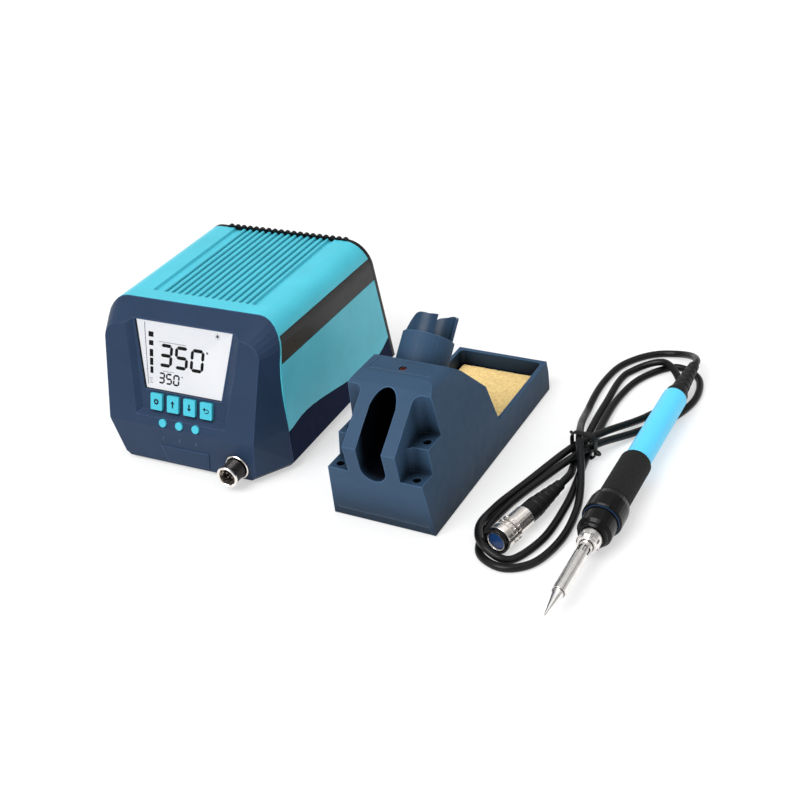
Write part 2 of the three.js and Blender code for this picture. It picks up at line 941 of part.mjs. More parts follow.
const nutSeat = FRONT.toeY + FRONT.wall + 1;
const flangeSeat = FRONT.toeY - 0.2;

function makeFrontMoulding() {
  const outside = 3 * PAST;
  const inside = -FRONT.wall - PAST;
  const keyHoles = keyXs.map((x) => inPanel(prismZ(keyOutline(x, GAP), inside, outside, 3)));
  const dotHoles = dotXs.map((x) => inPanel(prismZ(dotOutline(x, GAP), inside, outside, 5)));
  const windowSeat = inPanel(prismZ(windowOutline(GAP), -WINDOW.seatDepth, outside));
  const windowHole = inPanel(prismZ(windowOutline(-WINDOW.ledge), inside, outside));
  const socketHole = solid(rod(SOCKET.neck + GAP, unitFront, 0, 20).translate(SOCKET.x, 0, SOCKET.z));
  const socketSeat = solid(
    rod(SOCKET.flange + GAP, unitFront, flangeSeat, 24).translate(SOCKET.x, 0, SOCKET.z),
  );
  const plaque = solid(prismY(
    trapezoid(PLAQUE.topHalf, PLAQUE.top, PLAQUE.lowHalf, PLAQUE.low),
    unitFront,
    FRONT.toeY + FRONT.wall / 2,
  )).intersect(frontBlank(PLAQUE.raised));
  const posts = boardPosts().map(([x, y]) => (
    inPanel(prismZ(circle(BOARD.postRadius, x, y), boardFront + GAP, -FRONT.wall + 1, 4))
  ));
  const shell = joined([frontBlank(0).subtract(frontCavity()), plaque, ...posts]);
  const holes = [...keyHoles, ...dotHoles, windowSeat, windowHole, socketSeat, socketHole];
  const body = cut(shell, [recessCutter(), ...holes]);
  piece(assembly, 'front_moulding', body, plastic(COLOUR.navy, 0.42));
}

// ================================================================ control unit: display and keys

const panel = group(panelFrame);
const flangeFront = -FRONT.wall - GAP;
const flangeRear = flangeFront - PRESS.flangeThickness;
const displayFront = -FRONT.wall - GAP;
const displayRear = displayFront - DISPLAY.thickness;
const boardFront = displayRear - GAP;

function boardPosts() {
  const ys = [-keysDown, -boardLow + BOARD.postRadius + BOARD.thickness];
  return [-1, 1].flatMap((side) => ys.map((y) => [side * BOARD.postX, y]));
}

function makeDisplay() {
  const lensRear = GAP - WINDOW.seatDepth;
  const lens = solid(prismZ(windowOutline(0), lensRear, lensRear + WINDOW.thickness));
  piece(panel, 'display_window', lens, plastic(COLOUR.glass, 0.08));
  const half = DISPLAY.half;
  const module = solid(block(-half, half, -displayLow, -DISPLAY.top, displayRear, displayFront));
  piece(panel, 'display_module', module, plastic(COLOUR.white, 0.4));
}

function makeKeys() {
  ['key_settings', 'key_up', 'key_down', 'key_enter'].forEach((name, i) => {
    const cap = solid(prismZ(keyOutline(keyXs[i], 0), flangeRear, KEYS.proud, 3));
    const flange = solid(prismZ(keyOutline(keyXs[i], PRESS.flangeMargin, 0), flangeRear, flangeFront));
    piece(panel, name, cap.add(flange), plastic(COLOUR.keyTeal, 0.45));
  });
  dotXs.forEach((x, i) => {
    const cap = solid(prismZ(dotOutline(x, 0), flangeRear, RECESS.depth + DOTS.proud, 5));
    const flange = solid(prismZ(dotOutline(x, PRESS.flangeMargin), flangeRear, flangeFront, 5));
    piece(panel, `preset_key_${i + 1}`, cap.add(flange), plastic(COLOUR.keyTeal, 0.45));
  });
}

function makeControlBoard() {
  const boardRear = boardFront - BOARD.thickness;
  const board = solid(block(-BOARD.half, BOARD.half, -boardLow, -BOARD.top, boardRear, boardFront));
  const switchTop = flangeRear - PRESS.travel - GAP;
  const places = [...keyXs.map((x) => [x, -keysDown]), ...dotXs.map((x) => [x, -dotsDown])];
  const switches = places.map(([x, y]) => (
    solid(prismZ(rectangle(BOARD.pushSwitch, BOARD.pushSwitch, 0, x, y), boardFront - 1, switchTop))
  ));
  piece(panel, 'control_board', joined([board, ...switches]), plastic(COLOUR.board, 0.5));
}

// ================================================================ control unit: cord socket

function makeSocket() {
  const place = group(new THREE.Matrix4().makeTranslation(SOCKET.x, 0, SOCKET.z));
  const flangeRearY = flangeSeat - GAP;
  const flangeFrontY = flangeRearY - SOCKET.flangeThickness;
  const mouthY = flangeRearY - SOCKET.reach;
  const tailY = flangeRearY + SOCKET.tail;
  const edge = 0.4;
  const shell = hollow([
    [SOCKET.mouth, mouthY],
    [SOCKET.rim - edge, mouthY],
    [SOCKET.rim, mouthY + edge],
    [SOCKET.rim, mouthY + SOCKET.rimLength],
    [SOCKET.barrel, mouthY + SOCKET.rimLength + edge],
    [SOCKET.barrel, flangeFrontY],
    [SOCKET.flange, flangeFrontY],
    [SOCKET.flange, flangeRearY],
    [SOCKET.neck, flangeRearY],
    [SOCKET.neck, tailY],
    [SOCKET.bore, tailY],
    [SOCKET.bore, mouthY + SOCKET.mouthDepth],
    [SOCKET.mouth, mouthY + SOCKET.mouthDepth],
  ], 28);
  piece(place, 'socket_shell', solid(shell), metal(COLOUR.steel, 0.22));

  const insertY = mouthY + SOCKET.insertFront;
  const pins = Array.from({ length: SOCKET.pinCount }, (_, i) => {
    const angle = radians(90 + (360 / SOCKET.pinCount) * i);
    return solid(rod(SOCKET.pin, insertY - 3.5, insertY + 1, 8)
      .translate(SOCKET.pinCircle * Math.cos(angle), 0, SOCKET.pinCircle * Math.sin(angle)));
  });
  const insert = solid(rod(SOCKET.insert, insertY, tailY + 2, 20));
  piece(place, 'socket_insert', joined([insert, ...pins]), plastic(COLOUR.black, 0.6));

  const hex = solid(prismY(hexagon(SOCKET.nutAcross), nutSeat, nutSeat + SOCKET.nutThickness));
  const nut = hex.subtract(solid(rod(SOCKET.neck + GAP, nutSeat - PAST, nutSeat + PAST, 20)));
  piece(place, 'socket_nut', nut, metal(COLOUR.steel, 0.3));
}

// ================================================================ control unit: rear

// The rear frame lies on the outer rear face: x to the left of the unit, y up the face, z outwards.
const rearAngle = Math.atan(UNIT.rearSlope);
const rearFrame = new THREE.Matrix4()
  .makeBasis(
    new THREE.Vector3(-1, 0, 0),
    new THREE.Vector3(0, -Math.sin(rearAngle), Math.cos(rearAngle)),
    new THREE.Vector3(0, Math.cos(rearAngle), Math.sin(rearAngle)),
  )
  .setPosition(0, rearY(0), 0);
const rear = group(rearFrame);

function inRear(geometry) {
  return solid(geometry.applyMatrix4(rearFrame));
}

function rockerBody(around) {
  return rectangle(
    2 * (ROCKER.halfWidth + GAP + ROCKER.frameWall + around),
    2 * (ROCKER.radius + GAP + ROCKER.frameWall + around),
    1,
    ROCKER.x,
    ROCKER.up,
  );
}

function makeRearPanel() {
  const slab = rearSlab(REAR.thickness, 0);
  const bumps = Array.from({ length: REAR.bumpCount }, (_, i) => (
    solid(prismY(circle(REAR.bumpRadius, REAR.firstBumpX + i * REAR.bumpPitch, UNIT.top - 0.2), 0, unitRear, 4))
  ));
  const blank = joined([unitSolid(0), ...bumps]).intersect(slab);
  const slots = Array.from({ length: REAR.slotCount }, (_, i) => {
    const x = (i - (REAR.slotCount - 1) / 2) * REAR.slotPitch;
    const outline = rectangle(REAR.slotWidth, REAR.slotLength, REAR.slotWidth / 2.1, x, REAR.slotUp);
    return inRear(prismZ(outline, -PAST, PAST, 3));
  });
  const inletHole = inRear(prismZ(
    rectangle(2 * (INLET.half + GAP), INLET.bodyHeight + 2 * GAP, INLET.corner, INLET.x, INLET.up),
    -PAST,
    PAST,
    3,
  ));
  const rockerHole = inRear(prismZ(rockerBody(GAP), -PAST, PAST, 3));
  piece(assembly, 'rear_panel', cut(blank, [...slots, inletHole, rockerHole]), plastic(COLOUR.black, 0.6));
}

function makeInlet() {
  const front = GAP + INLET.flangeThickness;
  const flangeOutline = rectangle(2 * INLET.flangeHalf, INLET.flangeHeight, INLET.corner, INLET.x, INLET.up);
  const bodyOutline = rectangle(2 * INLET.half, INLET.bodyHeight, INLET.corner, INLET.x, INLET.up);
  const flange = solid(prismZ(flangeOutline, GAP, front, 4));
  const body = solid(prismZ(bodyOutline, -INLET.depth, front, 3));
  const cavityY = INLET.up + INLET.cavityUp;
  const cavity = solid(prismZ(
    rectangle(2 * INLET.cavityHalf, INLET.cavityHeight, 4, INLET.x, cavityY),
    front - INLET.cavityDepth,
    front + PAST,
    4,
  ));
  const drawerHole = solid(prismZ(
    rectangle(2 * (DRAWER.half + GAP), DRAWER.height + 2 * GAP, 0, INLET.x, INLET.up - DRAWER.down),
    front - DRAWER.depth - GAP,
    front + PAST,
  ));
  const blades = [[0, 3.2], [-7, -2.2], [7, -2.2]].map(([x, y]) => solid(prismZ(
    rectangle(INLET.bladeThickness, INLET.bladeWidth, 0, INLET.x + x, cavityY + y),
    front - INLET.cavityDepth - 1,
    front - INLET.cavityDepth + INLET.bladeLength,
  )));
  const housing = cut(flange.add(body), [cavity, drawerHole]);
  piece(rear, 'power_inlet', joined([housing, ...blades]), plastic(COLOUR.black, 0.5));

  const drawer = solid(prismZ(
    rectangle(2 * DRAWER.half, DRAWER.height, 0, INLET.x, INLET.up - DRAWER.down),
    front - DRAWER.depth,
    front,
  ));
  const handle = solid(prismZ(
    rectangle(DRAWER.half, DRAWER.height - 2, 0, INLET.x, INLET.up - DRAWER.down),
    front - 1,
    front + DRAWER.handle,
  ));
  piece(rear, 'fuse_drawer', drawer.add(handle), plastic(COLOUR.black, 0.45));
}

function makeRockerSwitch() {
  const flangeTop = GAP + ROCKER.flangeThickness;
  const flange = solid(prismZ(rockerBody(ROCKER.flange - ROCKER.frameWall), GAP, flangeTop, 3));
  const body = solid(prismZ(rockerBody(0), -ROCKER.depth, flangeTop, 3));
  const cavity = solid(prismZ(
    rectangle(2 * (ROCKER.halfWidth + GAP), 2 * (ROCKER.radius + GAP), 0, ROCKER.x, ROCKER.up),
    -ROCKER.cavityDepth,
    flangeTop + PAST,
  ));
  piece(rear, 'rocker_frame', flange.add(body).subtract(cavity), plastic(COLOUR.black, 0.5));

  const lowAngle = Math.asin(-ROCKER.belly / ROCKER.radius);
  const rise = Math.tan(radians(ROCKER.tilt));
  const highAngle = Math.asin((ROCKER.crown + rise * ROCKER.radius * 0.95) / ROCKER.radius);
  const outline = new THREE.Shape();
  outline.moveTo(0, ROCKER.crown);
  outline.absarc(0, 0, ROCKER.radius, Math.PI - highAngle, Math.PI - lowAngle, false);
  outline.absarc(0, 0, ROCKER.radius, lowAngle, highAngle, false);
  const rocker = prismX(outline, -ROCKER.halfWidth, ROCKER.halfWidth, 6)
    .rotateX(radians(-ROCKER.tilt))
    .translate(ROCKER.x, ROCKER.up, ROCKER.pivotUp);
  piece(rear, 'rocker', solid(rocker), plastic(COLOUR.black, 0.35));
}

// ================================================================ control unit: power supply

function supplyPosts() {
  const ys = [SUPPLY.front + SUPPLY.postInset, SUPPLY.rear - SUPPLY.postInset];
  return [-1, 1].flatMap((side) => ys.map((y) => [side * (SUPPLY.half - SUPPLY.postInset), y]));
}

function makePowerSupply() {
  const { width, depth, height, leg, y, floor } = CORE;
  const [front, back] = [y - depth / 2, y + depth / 2];
  const windowWidth = (width - 4 * leg) / 2;
  const windows = [-1, 1].map((side) => {
    const x = side * (leg + windowWidth / 2);
    const [x0, x1] = [x - windowWidth / 2, x + windowWidth / 2];
    return solid(block(x0, x1, front - PAST, back + PAST, floor + leg, floor + height - leg));
  });
  const core = cut(solid(block(-width / 2, width / 2, front, back, floor, floor + height)), windows);
  piece(assembly, 'transformer_core', core, metal(0x7a7d80, 0.5));

  const inner = leg + GAP;
  const outer = leg + windowWidth - GAP;
  const coilZ = [floor + leg + GAP, floor + height - leg - GAP];
  const coil = solid(prismZ(rectangle(2 * outer, depth + 2 * COIL.round, 5, 0, y), ...coilZ, 4));
  const hole = solid(block(-inner, inner, front - GAP, back + GAP, 0, UNIT.top));
  piece(assembly, 'transformer_coil', coil.subtract(hole), metal(COLOUR.copper, 0.4));

  const top = SUPPLY.z + SUPPLY.thickness;
  const board = solid(block(-SUPPLY.half, SUPPLY.half, SUPPLY.front, SUPPLY.rear, SUPPLY.z, top));
  const middle = (SUPPLY.front + SUPPLY.rear) / 2;
  const capacitors = CAPACITOR.xs.map((x) => (
    solid(prismZ(circle(CAPACITOR.radius, x, middle), top - 1, top + CAPACITOR.height, 6))
  ));
  const heatSink = solid(prismZ(
    rectangle(HEAT_SINK.width, HEAT_SINK.depth, 0, HEAT_SINK.x, middle),
    top - 1,
    top + HEAT_SINK.height,
  ));
  piece(assembly, 'supply_board', joined([board, ...capacitors, heatSink]), plastic(COLOUR.board, 0.5));
}

makeCover();
makeStrips();
makeBase();
makeFeet();
makeFrontMoulding();
makeDisplay();
makeKeys();
makeControlBoard();
makeSocket();
makeRearPanel();
makeInlet();
makeRockerSwitch();
makePowerSupply();

// ================================================================ stand

const standFrame = new THREE.Matrix4()
  .makeRotationZ(radians(STAND.turn))
  .setPosition(STAND.x, STAND.y, 0);
const stand = group(standFrame);

// Side view of the tall front part, from its lower front edge round to its lower rear edge.
const towerSide = [
  [0, STAND.bottom],
  [TRAY.front, STAND.bottom],
  [STAND.rimY, STAND.rimZ],
  [STAND.shelfY, STAND.shelfZ],
  [STAND.backY, STAND.backZ],
  [STAND.deckRearY, STAND.deckZ],
  [STAND.deckFrontY, STAND.deckZ],
  [STAND.shoulderY, STAND.shoulderZ],
  [STAND.browY, STAND.browZ],
  [STAND.noseY, STAND.noseZ],
  [STAND.lowFrontY, STAND.lowFrontZ],
];

// Front view of the stand, with its sides leaning in and its upper edges rounded.
function standFrontView(inward) {
  const radius = STAND.deckRound - inward;
  const lowHalf = STAND.half - inward;
  const topHalf = STAND.half - STAND.draft * STAND.deckZ - inward;
  const top = STAND.deckZ - inward;
  const shape = new THREE.Shape();
  shape.moveTo(-lowHalf - STAND.draft * PAST, -PAST);
  shape.lineTo(lowHalf + STAND.draft * PAST, -PAST);
  shape.absarc(topHalf - radius, top - radius, radius, 0, Math.PI / 2);
  shape.absarc(radius - topHalf, top - radius, radius, Math.PI / 2, Math.PI);
  return shape;
}

const standWide = STAND.half + 2 * PAST;

function aimed(geometry) {
  return solid(geometry.rotateX(radians(HOLDER.tilt)).translate(HOLDER.x, HOLDER.y, HOLDER.z));
}

function chamber(around) {
  const height = SLOT.top - SLOT.low + 2 * around;
  const half = SLOT.half + around;
  const outline = rectangle(2 * half, height, half - 0.01, 0, (SLOT.top + SLOT.low) / 2);
  const slot = solid(prismY(outline, STAND.noseY - PAST, SLOT.rearY + around));
  return slot.add(aimed(rod(HOLDER.chamber + around, -HOLDER.chamberDepth - around, 0, 20)));
}

function holderBore(around) {
  return aimed(rod(HOLDER.bore + around, -HOLDER.boreDepth - GAP - around, HOLDER.collarHeight + PAST, 28));
}

// A corner cut with an upright inner wall, a rounded back corner and a back wall that leans.
function cornerCut(side, floor, back, top, backAtTop, around) {
  const ringAt = (z, backY) => {
    const inner = LEDGES.inner - around;
    const rearLine = backY + around;
    const radius = LEDGES.corner;
    const arc = [0, 1, 2, 3, 4].map((i) => {
      const angle = Math.PI * (1 - i / 8);
      return [inner + radius * (1 + Math.cos(angle)), rearLine - radius * (1 - Math.sin(angle))];
    });
    return [[inner, STAND.noseY - PAST], ...arc, [standWide, rearLine], [standWide, STAND.noseY - PAST]]
      .map(([x, y]) => new THREE.Vector3(side * x, y, z));
  };
  return solid(loft([ringAt(floor - around, back), ringAt(top, backAtTop)]));
}

function cornerCuts(around) {
  return [-1, 1].flatMap((side) => [
    cornerCut(side, LEDGES.upperZ, LEDGES.upperBack, STAND.browZ + PAST, LEDGES.upperBackTop, around),
    cornerCut(side, LEDGES.lowerZ, LEDGES.lowerBack, LEDGES.upperZ + PAST, LEDGES.lowerBack, around),
  ]);
}

function ledgeHoles(around) {
  return [-1, 1].flatMap((side) => [
    [LEDGES.upperZ, LEDGES.upperHoleY],
    [LEDGES.lowerZ, LEDGES.lowerHoleY],
  ].map(([z, y]) => solid(prismZ(
    circle(LEDGES.hole + around, side * LEDGES.holeX, y),
    z - LEDGES.holeDepth - around,
    z + 1,
    5,
  ))));
}

const padPlaces = [PADS.frontY, PADS.rearY].flatMap((y) => [[-PADS.x, y], [PADS.x, y]]);
const padTop = STAND.bottom + PADS.thickness - GAP;

function padSeats(around) {
  return padPlaces.map(([x, y]) => (
    solid(prismZ(circle(PADS.radius + GAP + around, x, y), -1, padTop + GAP + around, 6))
  ));
}

function makeStandBody() {
  const tower = solid(prismX(polygon(towerSide), -standWide, standWide));
  const trayBlock = solid(prismX(
    polygon([
      [TRAY.front - PAST, STAND.bottom],
      [STAND.rearLowY, STAND.bottom],
      [STAND.rearTopY, STAND.rimZ],
      [TRAY.front - PAST, STAND.rimZ],
    ]),
    -standWide,
    standWide,
  ));
  const plan = solid(prismZ(
    rectangle(2 * STAND.half, 2 * STAND.rearLowY, STAND.cornerRadius),
    -PAST,
    STAND.deckZ + PAST,
    4,
  ));
  const drafted = solid(prismY(standFrontView(0), STAND.noseY - PAST, STAND.rearLowY + PAST, 4));
  const outer = common([tower.add(trayBlock), plan, drafted]);
  const collar = aimed(rod(HOLDER.collar, -HOLDER.boreDepth, HOLDER.collarHeight, 36));

  const wall = STAND.wall;
  const insideSide = polygon([[0, -PAST], ...inset(towerSide, wall).slice(1)]);
  const inside = solid(prismX(insideSide, -standWide, standWide))
    .intersect(solid(prismY(standFrontView(wall), STAND.noseY, TRAY.front, 4)));
  const hollows = (around) => [
    chamber(around),
    holderBore(around),
    ...cornerCuts(around),
    ...ledgeHoles(around),
    ...padSeats(around),
  ];
  const lining = hollows(wall);
  const cavity = cut(inside, lining);

  const tray = solid(prismZ(
    rectangle(
      2 * TRAY.half,
      STAND.rearTopY - TRAY.rearWall - TRAY.front,
      TRAY.corner,
      0,
      (STAND.rearTopY - TRAY.rearWall + TRAY.front) / 2,
    ),
    TRAY.floor,
    STAND.rimZ + PAST,
    4,
  ));
  const plateSeat = solid(deckPlatePrism(GAP, STAND.deckZ - DECK_PLATE.thickness - GAP, STAND.deckZ + PAST));
  const body = cut(outer.add(collar), [cavity, ...hollows(0), tray, plateSeat]);
  piece(stand, 'stand_body', body, plastic(COLOUR.slate, 0.5));
}

function deckPlatePrism(around, z0, z1) {
  const outline = polygon([
    [-DECK_PLATE.half - DECK_PLATE.taper - around, DECK_PLATE.front - around],
    [DECK_PLATE.half + DECK_PLATE.taper + around, DECK_PLATE.front - around],
    [DECK_PLATE.half + around, DECK_PLATE.rear + around],
    [-DECK_PLATE.half - around, DECK_PLATE.rear + around],
  ]);
  return prismZ(outline, z0, z1);
}

function makeStandFittings() {
  const plateTop = STAND.deckZ - 0.1;
  const plate = solid(deckPlatePrism(0, plateTop - DECK_PLATE.thickness + 0.1, plateTop));
  const holeOutline = circle(DECK_PLATE.hole, DECK_PLATE.holeX, DECK_PLATE.holeY);
  const hole = solid(prismZ(holeOutline, 0, STAND.deckZ + PAST, 5));
  piece(stand, 'deck_plate', plate.subtract(hole), plastic(COLOUR.slate, 0.45));

  const sleeveOuter = HOLDER.bore - GAP;
  const mouth = HOLDER.collarHeight + HOLDER.sleeveRise;
  const tube = aimed(hollow([
    [HOLDER.sleeveBore, -HOLDER.boreDepth],
    [sleeveOuter, -HOLDER.boreDepth],
    [sleeveOuter, mouth],
    [HOLDER.sleeveBore, mouth],
  ], 32));
  const rim = HOLDER.collarHeight;
  const scoop = aimed(prismZ(
    polygon([
      [-sleeveOuter - PAST, rim + HOLDER.cutLow],
      [HOLDER.cutFrom, rim + HOLDER.cutLow],
      [HOLDER.cutTo, rim + HOLDER.cutHigh],
      [sleeveOuter + GAP, mouth],
      [sleeveOuter + GAP, mouth + PAST],
      [-sleeveOuter - PAST, mouth + PAST],
    ]),
    -2 * sleeveOuter,
    2 * sleeveOuter,
  ));
  piece(stand, 'holder_sleeve', tube.subtract(scoop), plastic(COLOUR.black, 0.45));

  const around = SPONGE.around;
  const front = TRAY.front + around;
  const back = STAND.rearTopY - TRAY.rearWall - around;
  const bottom = TRAY.floor + GAP;
  const sponge = solid(prismZ(
    rectangle(2 * (TRAY.half - around), back - front, TRAY.corner, 0, (front + back) / 2),
    bottom,
    bottom + SPONGE.thickness,
    4,
  ));
  piece(stand, 'sponge', sponge, plastic(COLOUR.sponge, 0.95));

  padPlaces.forEach(([x, y], i) => {
    const pad = solid(prismZ(circle(PADS.radius, x, y), 0, padTop, 6));
    piece(stand, `stand_pad_${i + 1}`, pad, plastic(COLOUR.black, 0.85));
  });
}

makeStandBody();
makeStandFittings();

// ================================================================ iron

// An axis frame has its origin at the front end of a long piece and its y axis along it.
function axisFrame(x, y, z, heading) {
  return new THREE.Matrix4().makeRotationZ(radians(heading - 90)).setPosition(x, y, z);
}

const ironFrame = axisFrame(IRON.tipX, IRON.tipY, IRON.axisZ, IRON.heading);
const iron = group(ironFrame);

const nutEnd = NUT.start + NUT.length;

function makeHotEnd() {
  piece(iron, 'iron_tip', solid(revolved([
    [0, 0],
    [TIP.point, 0.3],
    [TIP.cone, TIP.coneEnd],
    [TIP.shank, TIP.shankStart],
    [TIP.shank, TIP.shankEnd],
    [TIP.bore, TIP.shankEnd],
    [TIP.bore, TIP.boreStart],
    [0, TIP.boreStart],
  ], 24)), metal(COLOUR.steel, 0.25));

  const tube = solid(hollow([
    [BARREL.bore, BARREL.start],
    [BARREL.outer, BARREL.start],
    [BARREL.outer, BARREL.flangeStart],
    [BARREL.flange, BARREL.flangeStart],
    [BARREL.flange, BARREL.end],
    [BARREL.bore, BARREL.end],
  ], 24));
  const slotOutline = rectangle(BARREL.slotWidth, BARREL.slotLength, BARREL.slotWidth / 3, 0, BARREL.slotAt);
  const slots = Array.from({ length: BARREL.slotCount }, (_, i) => (
    solid(prismZ(slotOutline, 0, BARREL.outer + PAST, 2)
      .rotateY(radians(BARREL.slotTurn + (360 / BARREL.slotCount) * i)))
  ));
  piece(iron, 'iron_barrel', cut(tube, slots), metal(COLOUR.steel, 0.3));

  piece(iron, 'iron_nut', solid(hollow([
    [NUT.neckBore, NUT.start],
    [NUT.neck, NUT.start],
    [NUT.neck, NUT.neckEnd],
    [NUT.outer, NUT.neckEnd + NUT.outer - NUT.neck],
    [NUT.outer, nutEnd],
    [NUT.bore, nutEnd],
    [NUT.bore, BARREL.flangeStart - GAP],
    [NUT.neckBore, BARREL.flangeStart - GAP],
  ], 28)), metal(COLOUR.steel, 0.3));

  const heater = solid(rod(HEATER.radius, HEATER.start, HEATER.end, 16));
  piece(iron, 'heater', heater, plastic(COLOUR.white, 0.6));
}

function makeHandle() {
  const bore = HEATER.radius + GAP;
  const front = nutEnd + GAP;
  const edge = 0.8;
  piece(iron, 'iron_nose', solid(hollow([
    [bore, BARREL.end + GAP],
    [NOSE.stub, BARREL.end + GAP],
    [NOSE.stub, front],
    [NOSE.face - edge, front],
    [NOSE.face, front + edge],
    [NOSE.face, front + NOSE.faceLength],
    [NOSE.cap - 2 * edge, front + NOSE.faceLength],
    [NOSE.cap, front + NOSE.faceLength + 2 * edge],
    [NOSE.cap, NOSE.capEnd],
    [NOSE.groove, NOSE.capEnd],
    [NOSE.groove, NOSE.grooveEnd],
    [NOSE.flange - edge, NOSE.grooveEnd],
    [NOSE.flange, NOSE.grooveEnd + edge],
    [NOSE.flange, NOSE.flangeEnd],
    [NOSE.rear + edge, NOSE.end - 2 * edge],
    [NOSE.rear - edge, NOSE.end],
    [bore, NOSE.end],
  ], 32)), plastic(COLOUR.black, 0.5));

  piece(iron, 'foam_grip', solid(hollow([
    [GRIP.bore, GRIP.start],
    [GRIP.outer - GRIP.edge, GRIP.start],
    [GRIP.outer, GRIP.start + GRIP.edge],
    [GRIP.outer, GRIP.end - GRIP.edge],
    [GRIP.outer - GRIP.edge, GRIP.end],
    [GRIP.bore, GRIP.end],
  ], 28)), plastic(COLOUR.foam, 0.95));

  piece(iron, 'handle', solid(revolved([
    [0, HANDLE.front],
    [HANDLE.slim, HANDLE.front],
    [HANDLE.slim, HANDLE.shoulder],
    [HANDLE.radius - 0.8, HANDLE.shoulder],
    [HANDLE.radius, HANDLE.shoulder + 0.8],
    [HANDLE.radius, HANDLE.end - 0.8],
    [HANDLE.radius - 0.8, HANDLE.end],
    [HANDLE.bore, HANDLE.end],
    [HANDLE.bore, HANDLE.end - HANDLE.boreEnd],
    [0, HANDLE.end - HANDLE.boreEnd],
  ], 32)), plastic(COLOUR.sky, 0.4));

  piece(iron, 'cord_boot', solid(revolved([
    [0, HANDLE.end - BOOT.plugDepth],
    [BOOT.plug, HANDLE.end - BOOT.plugDepth],
    [BOOT.plug, BOOT.start],
    [BOOT.collar, BOOT.start],
    [BOOT.collar, BOOT.collarEnd],
    ...bootRings(BOOT.from, BOOT.to, BOOT.collarEnd, BOOT.end, 6),
    [0, BOOT.end],
  ], 24)), plastic(COLOUR.black, 0.6));
}

// A tapering boot with a ring-shaped notch after every bead.
function bootRings(from, to, start, end, count) {
  const step = (end - start) / count;
  const points = [];
  for (let i = 0; i < count; i += 1) {
    const radius = from + ((to - from) * i) / (count - 1);
    const at = start + i * step;
    const notch = radius - 0.7;
    points.push([notch, at], [notch, at + 1.2], [radius, at + 1.8], [radius - 0.2, at + step - 0.3]);
  }
  points.push([to - 0.2, end]);
  return points;
}

makeHotEnd();
makeHandle();

// ================================================================ plug, cord and tie

const plugEnd = PLUG.shellEnd + PLUG.bootLength;
const plugFrame = axisFrame(PLUG.x, PLUG.y, PLUG.ring + 0.2, PLUG.heading);
const plug = group(plugFrame);

function makePlug() {
  const ringBore = SOCKET.rim + PLUG.ringClearance;
  piece(plug, 'plug_ring', solid(hollow([
    [ringBore, 0],
    [PLUG.ring - 0.4, 0],
    [PLUG.ring, 0.4],
    [PLUG.ring, PLUG.ringEnd],
    [ringBore, PLUG.ringEnd],
  ], 28)), metal(COLOUR.steel, 0.25));

  const insert = solid(rod(PLUG.insert, PLUG.insertFront, PLUG.shellStart - GAP, 24));
  piece(plug, 'plug_insert', insert, plastic(COLOUR.blue, 0.4));

  piece(plug, 'plug_shell', solid(revolved([
    [0, PLUG.shellStart],
    [PLUG.shellNeck, PLUG.shellStart],
    [PLUG.shellNeck, PLUG.ringEnd + GAP],
    [PLUG.shell, PLUG.ringEnd + GAP],
    [PLUG.shell, PLUG.shellEnd],
    [0, PLUG.shellEnd],
  ], 28)), metal(COLOUR.steel, 0.25));

  const start = PLUG.shellEnd + GAP;
  piece(plug, 'plug_boot', solid(revolved([
    [0, start],
    [PLUG.bootFrom, start],
    [PLUG.bootFrom, start + 7],
    ...bootRings(PLUG.bootFrom, PLUG.bootTo, start + 7, plugEnd, 5),
    [0, plugEnd],
  ], 24)), plastic(COLOUR.black, 0.6));
}

// A smooth curve that the bench keeps from sinking below the cord's own radius.
class LyingCurve extends THREE.CatmullRomCurve3 {
  getPoint(share, target) {
    const point = super.getPoint(share, target);
    point.z = Math.max(point.z, CORD.radius);
    return point;
  }
}

function makeCord() {
  const leave = new THREE.Vector3(0, BOOT.end + GAP, 0).applyMatrix4(ironFrame);
  const arrive = new THREE.Vector3(0, plugEnd + GAP, 0).applyMatrix4(plugFrame);
  const route = CORD_ROUTE.map((point) => new THREE.Vector3(...point));
  const curve = new LyingCurve([leave, ...route, arrive], false, 'centripetal');
  const tube = new THREE.ExtrudeGeometry(circle(CORD.radius), {
    steps: CORD.steps,
    curveSegments: CORD.sides / 2,
    extrudePath: curve,
  });
  piece(assembly, 'cord', solid(tube), plastic(COLOUR.black, 0.55));
}

function makeTie() {
  const place = group(axisFrame(TIE.x, TIE.y, 0, TIE.heading));
  const middle = GAP + TIE.height / 2;
  const ringAt = (around) => solid(prismY(
    rectangle(2 * (TIE.half + around), TIE.height + 2 * around, TIE.corner + around, 0, middle),
    -TIE.width / 2 - around,
    TIE.width / 2 + around,
    4,
  ));
  const inner = solid(prismY(
    rectangle(2 * (TIE.half - TIE.band), TIE.height - 2 * TIE.band, TIE.corner - TIE.band, 0, middle),
    -PAST,
    PAST,
    4,
  ));
  piece(place, 'cord_tie', ringAt(0).subtract(inner), plastic(COLOUR.black, 0.6));
}

makePlug();
makeCord();
makeTie();

// ================================================================ origin

const loose = ['cord', 'cord_tie'];
assembly.updateMatrixWorld(true);
const footprint = new THREE.Box3();
assembly.traverse((item) => {
  if (item.isMesh && !loose.includes(item.name)) footprint.expandByObject(item, true);
});
const middle = footprint.getCenter(new THREE.Vector3());
assembly.position.set(-middle.x, -middle.y, -footprint.min.z);

const part = new THREE.Group();
part.add(assembly);

export default part;
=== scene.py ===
import json
import math

import bmesh
import bpy
from mathutils import Matrix, Vector, noise


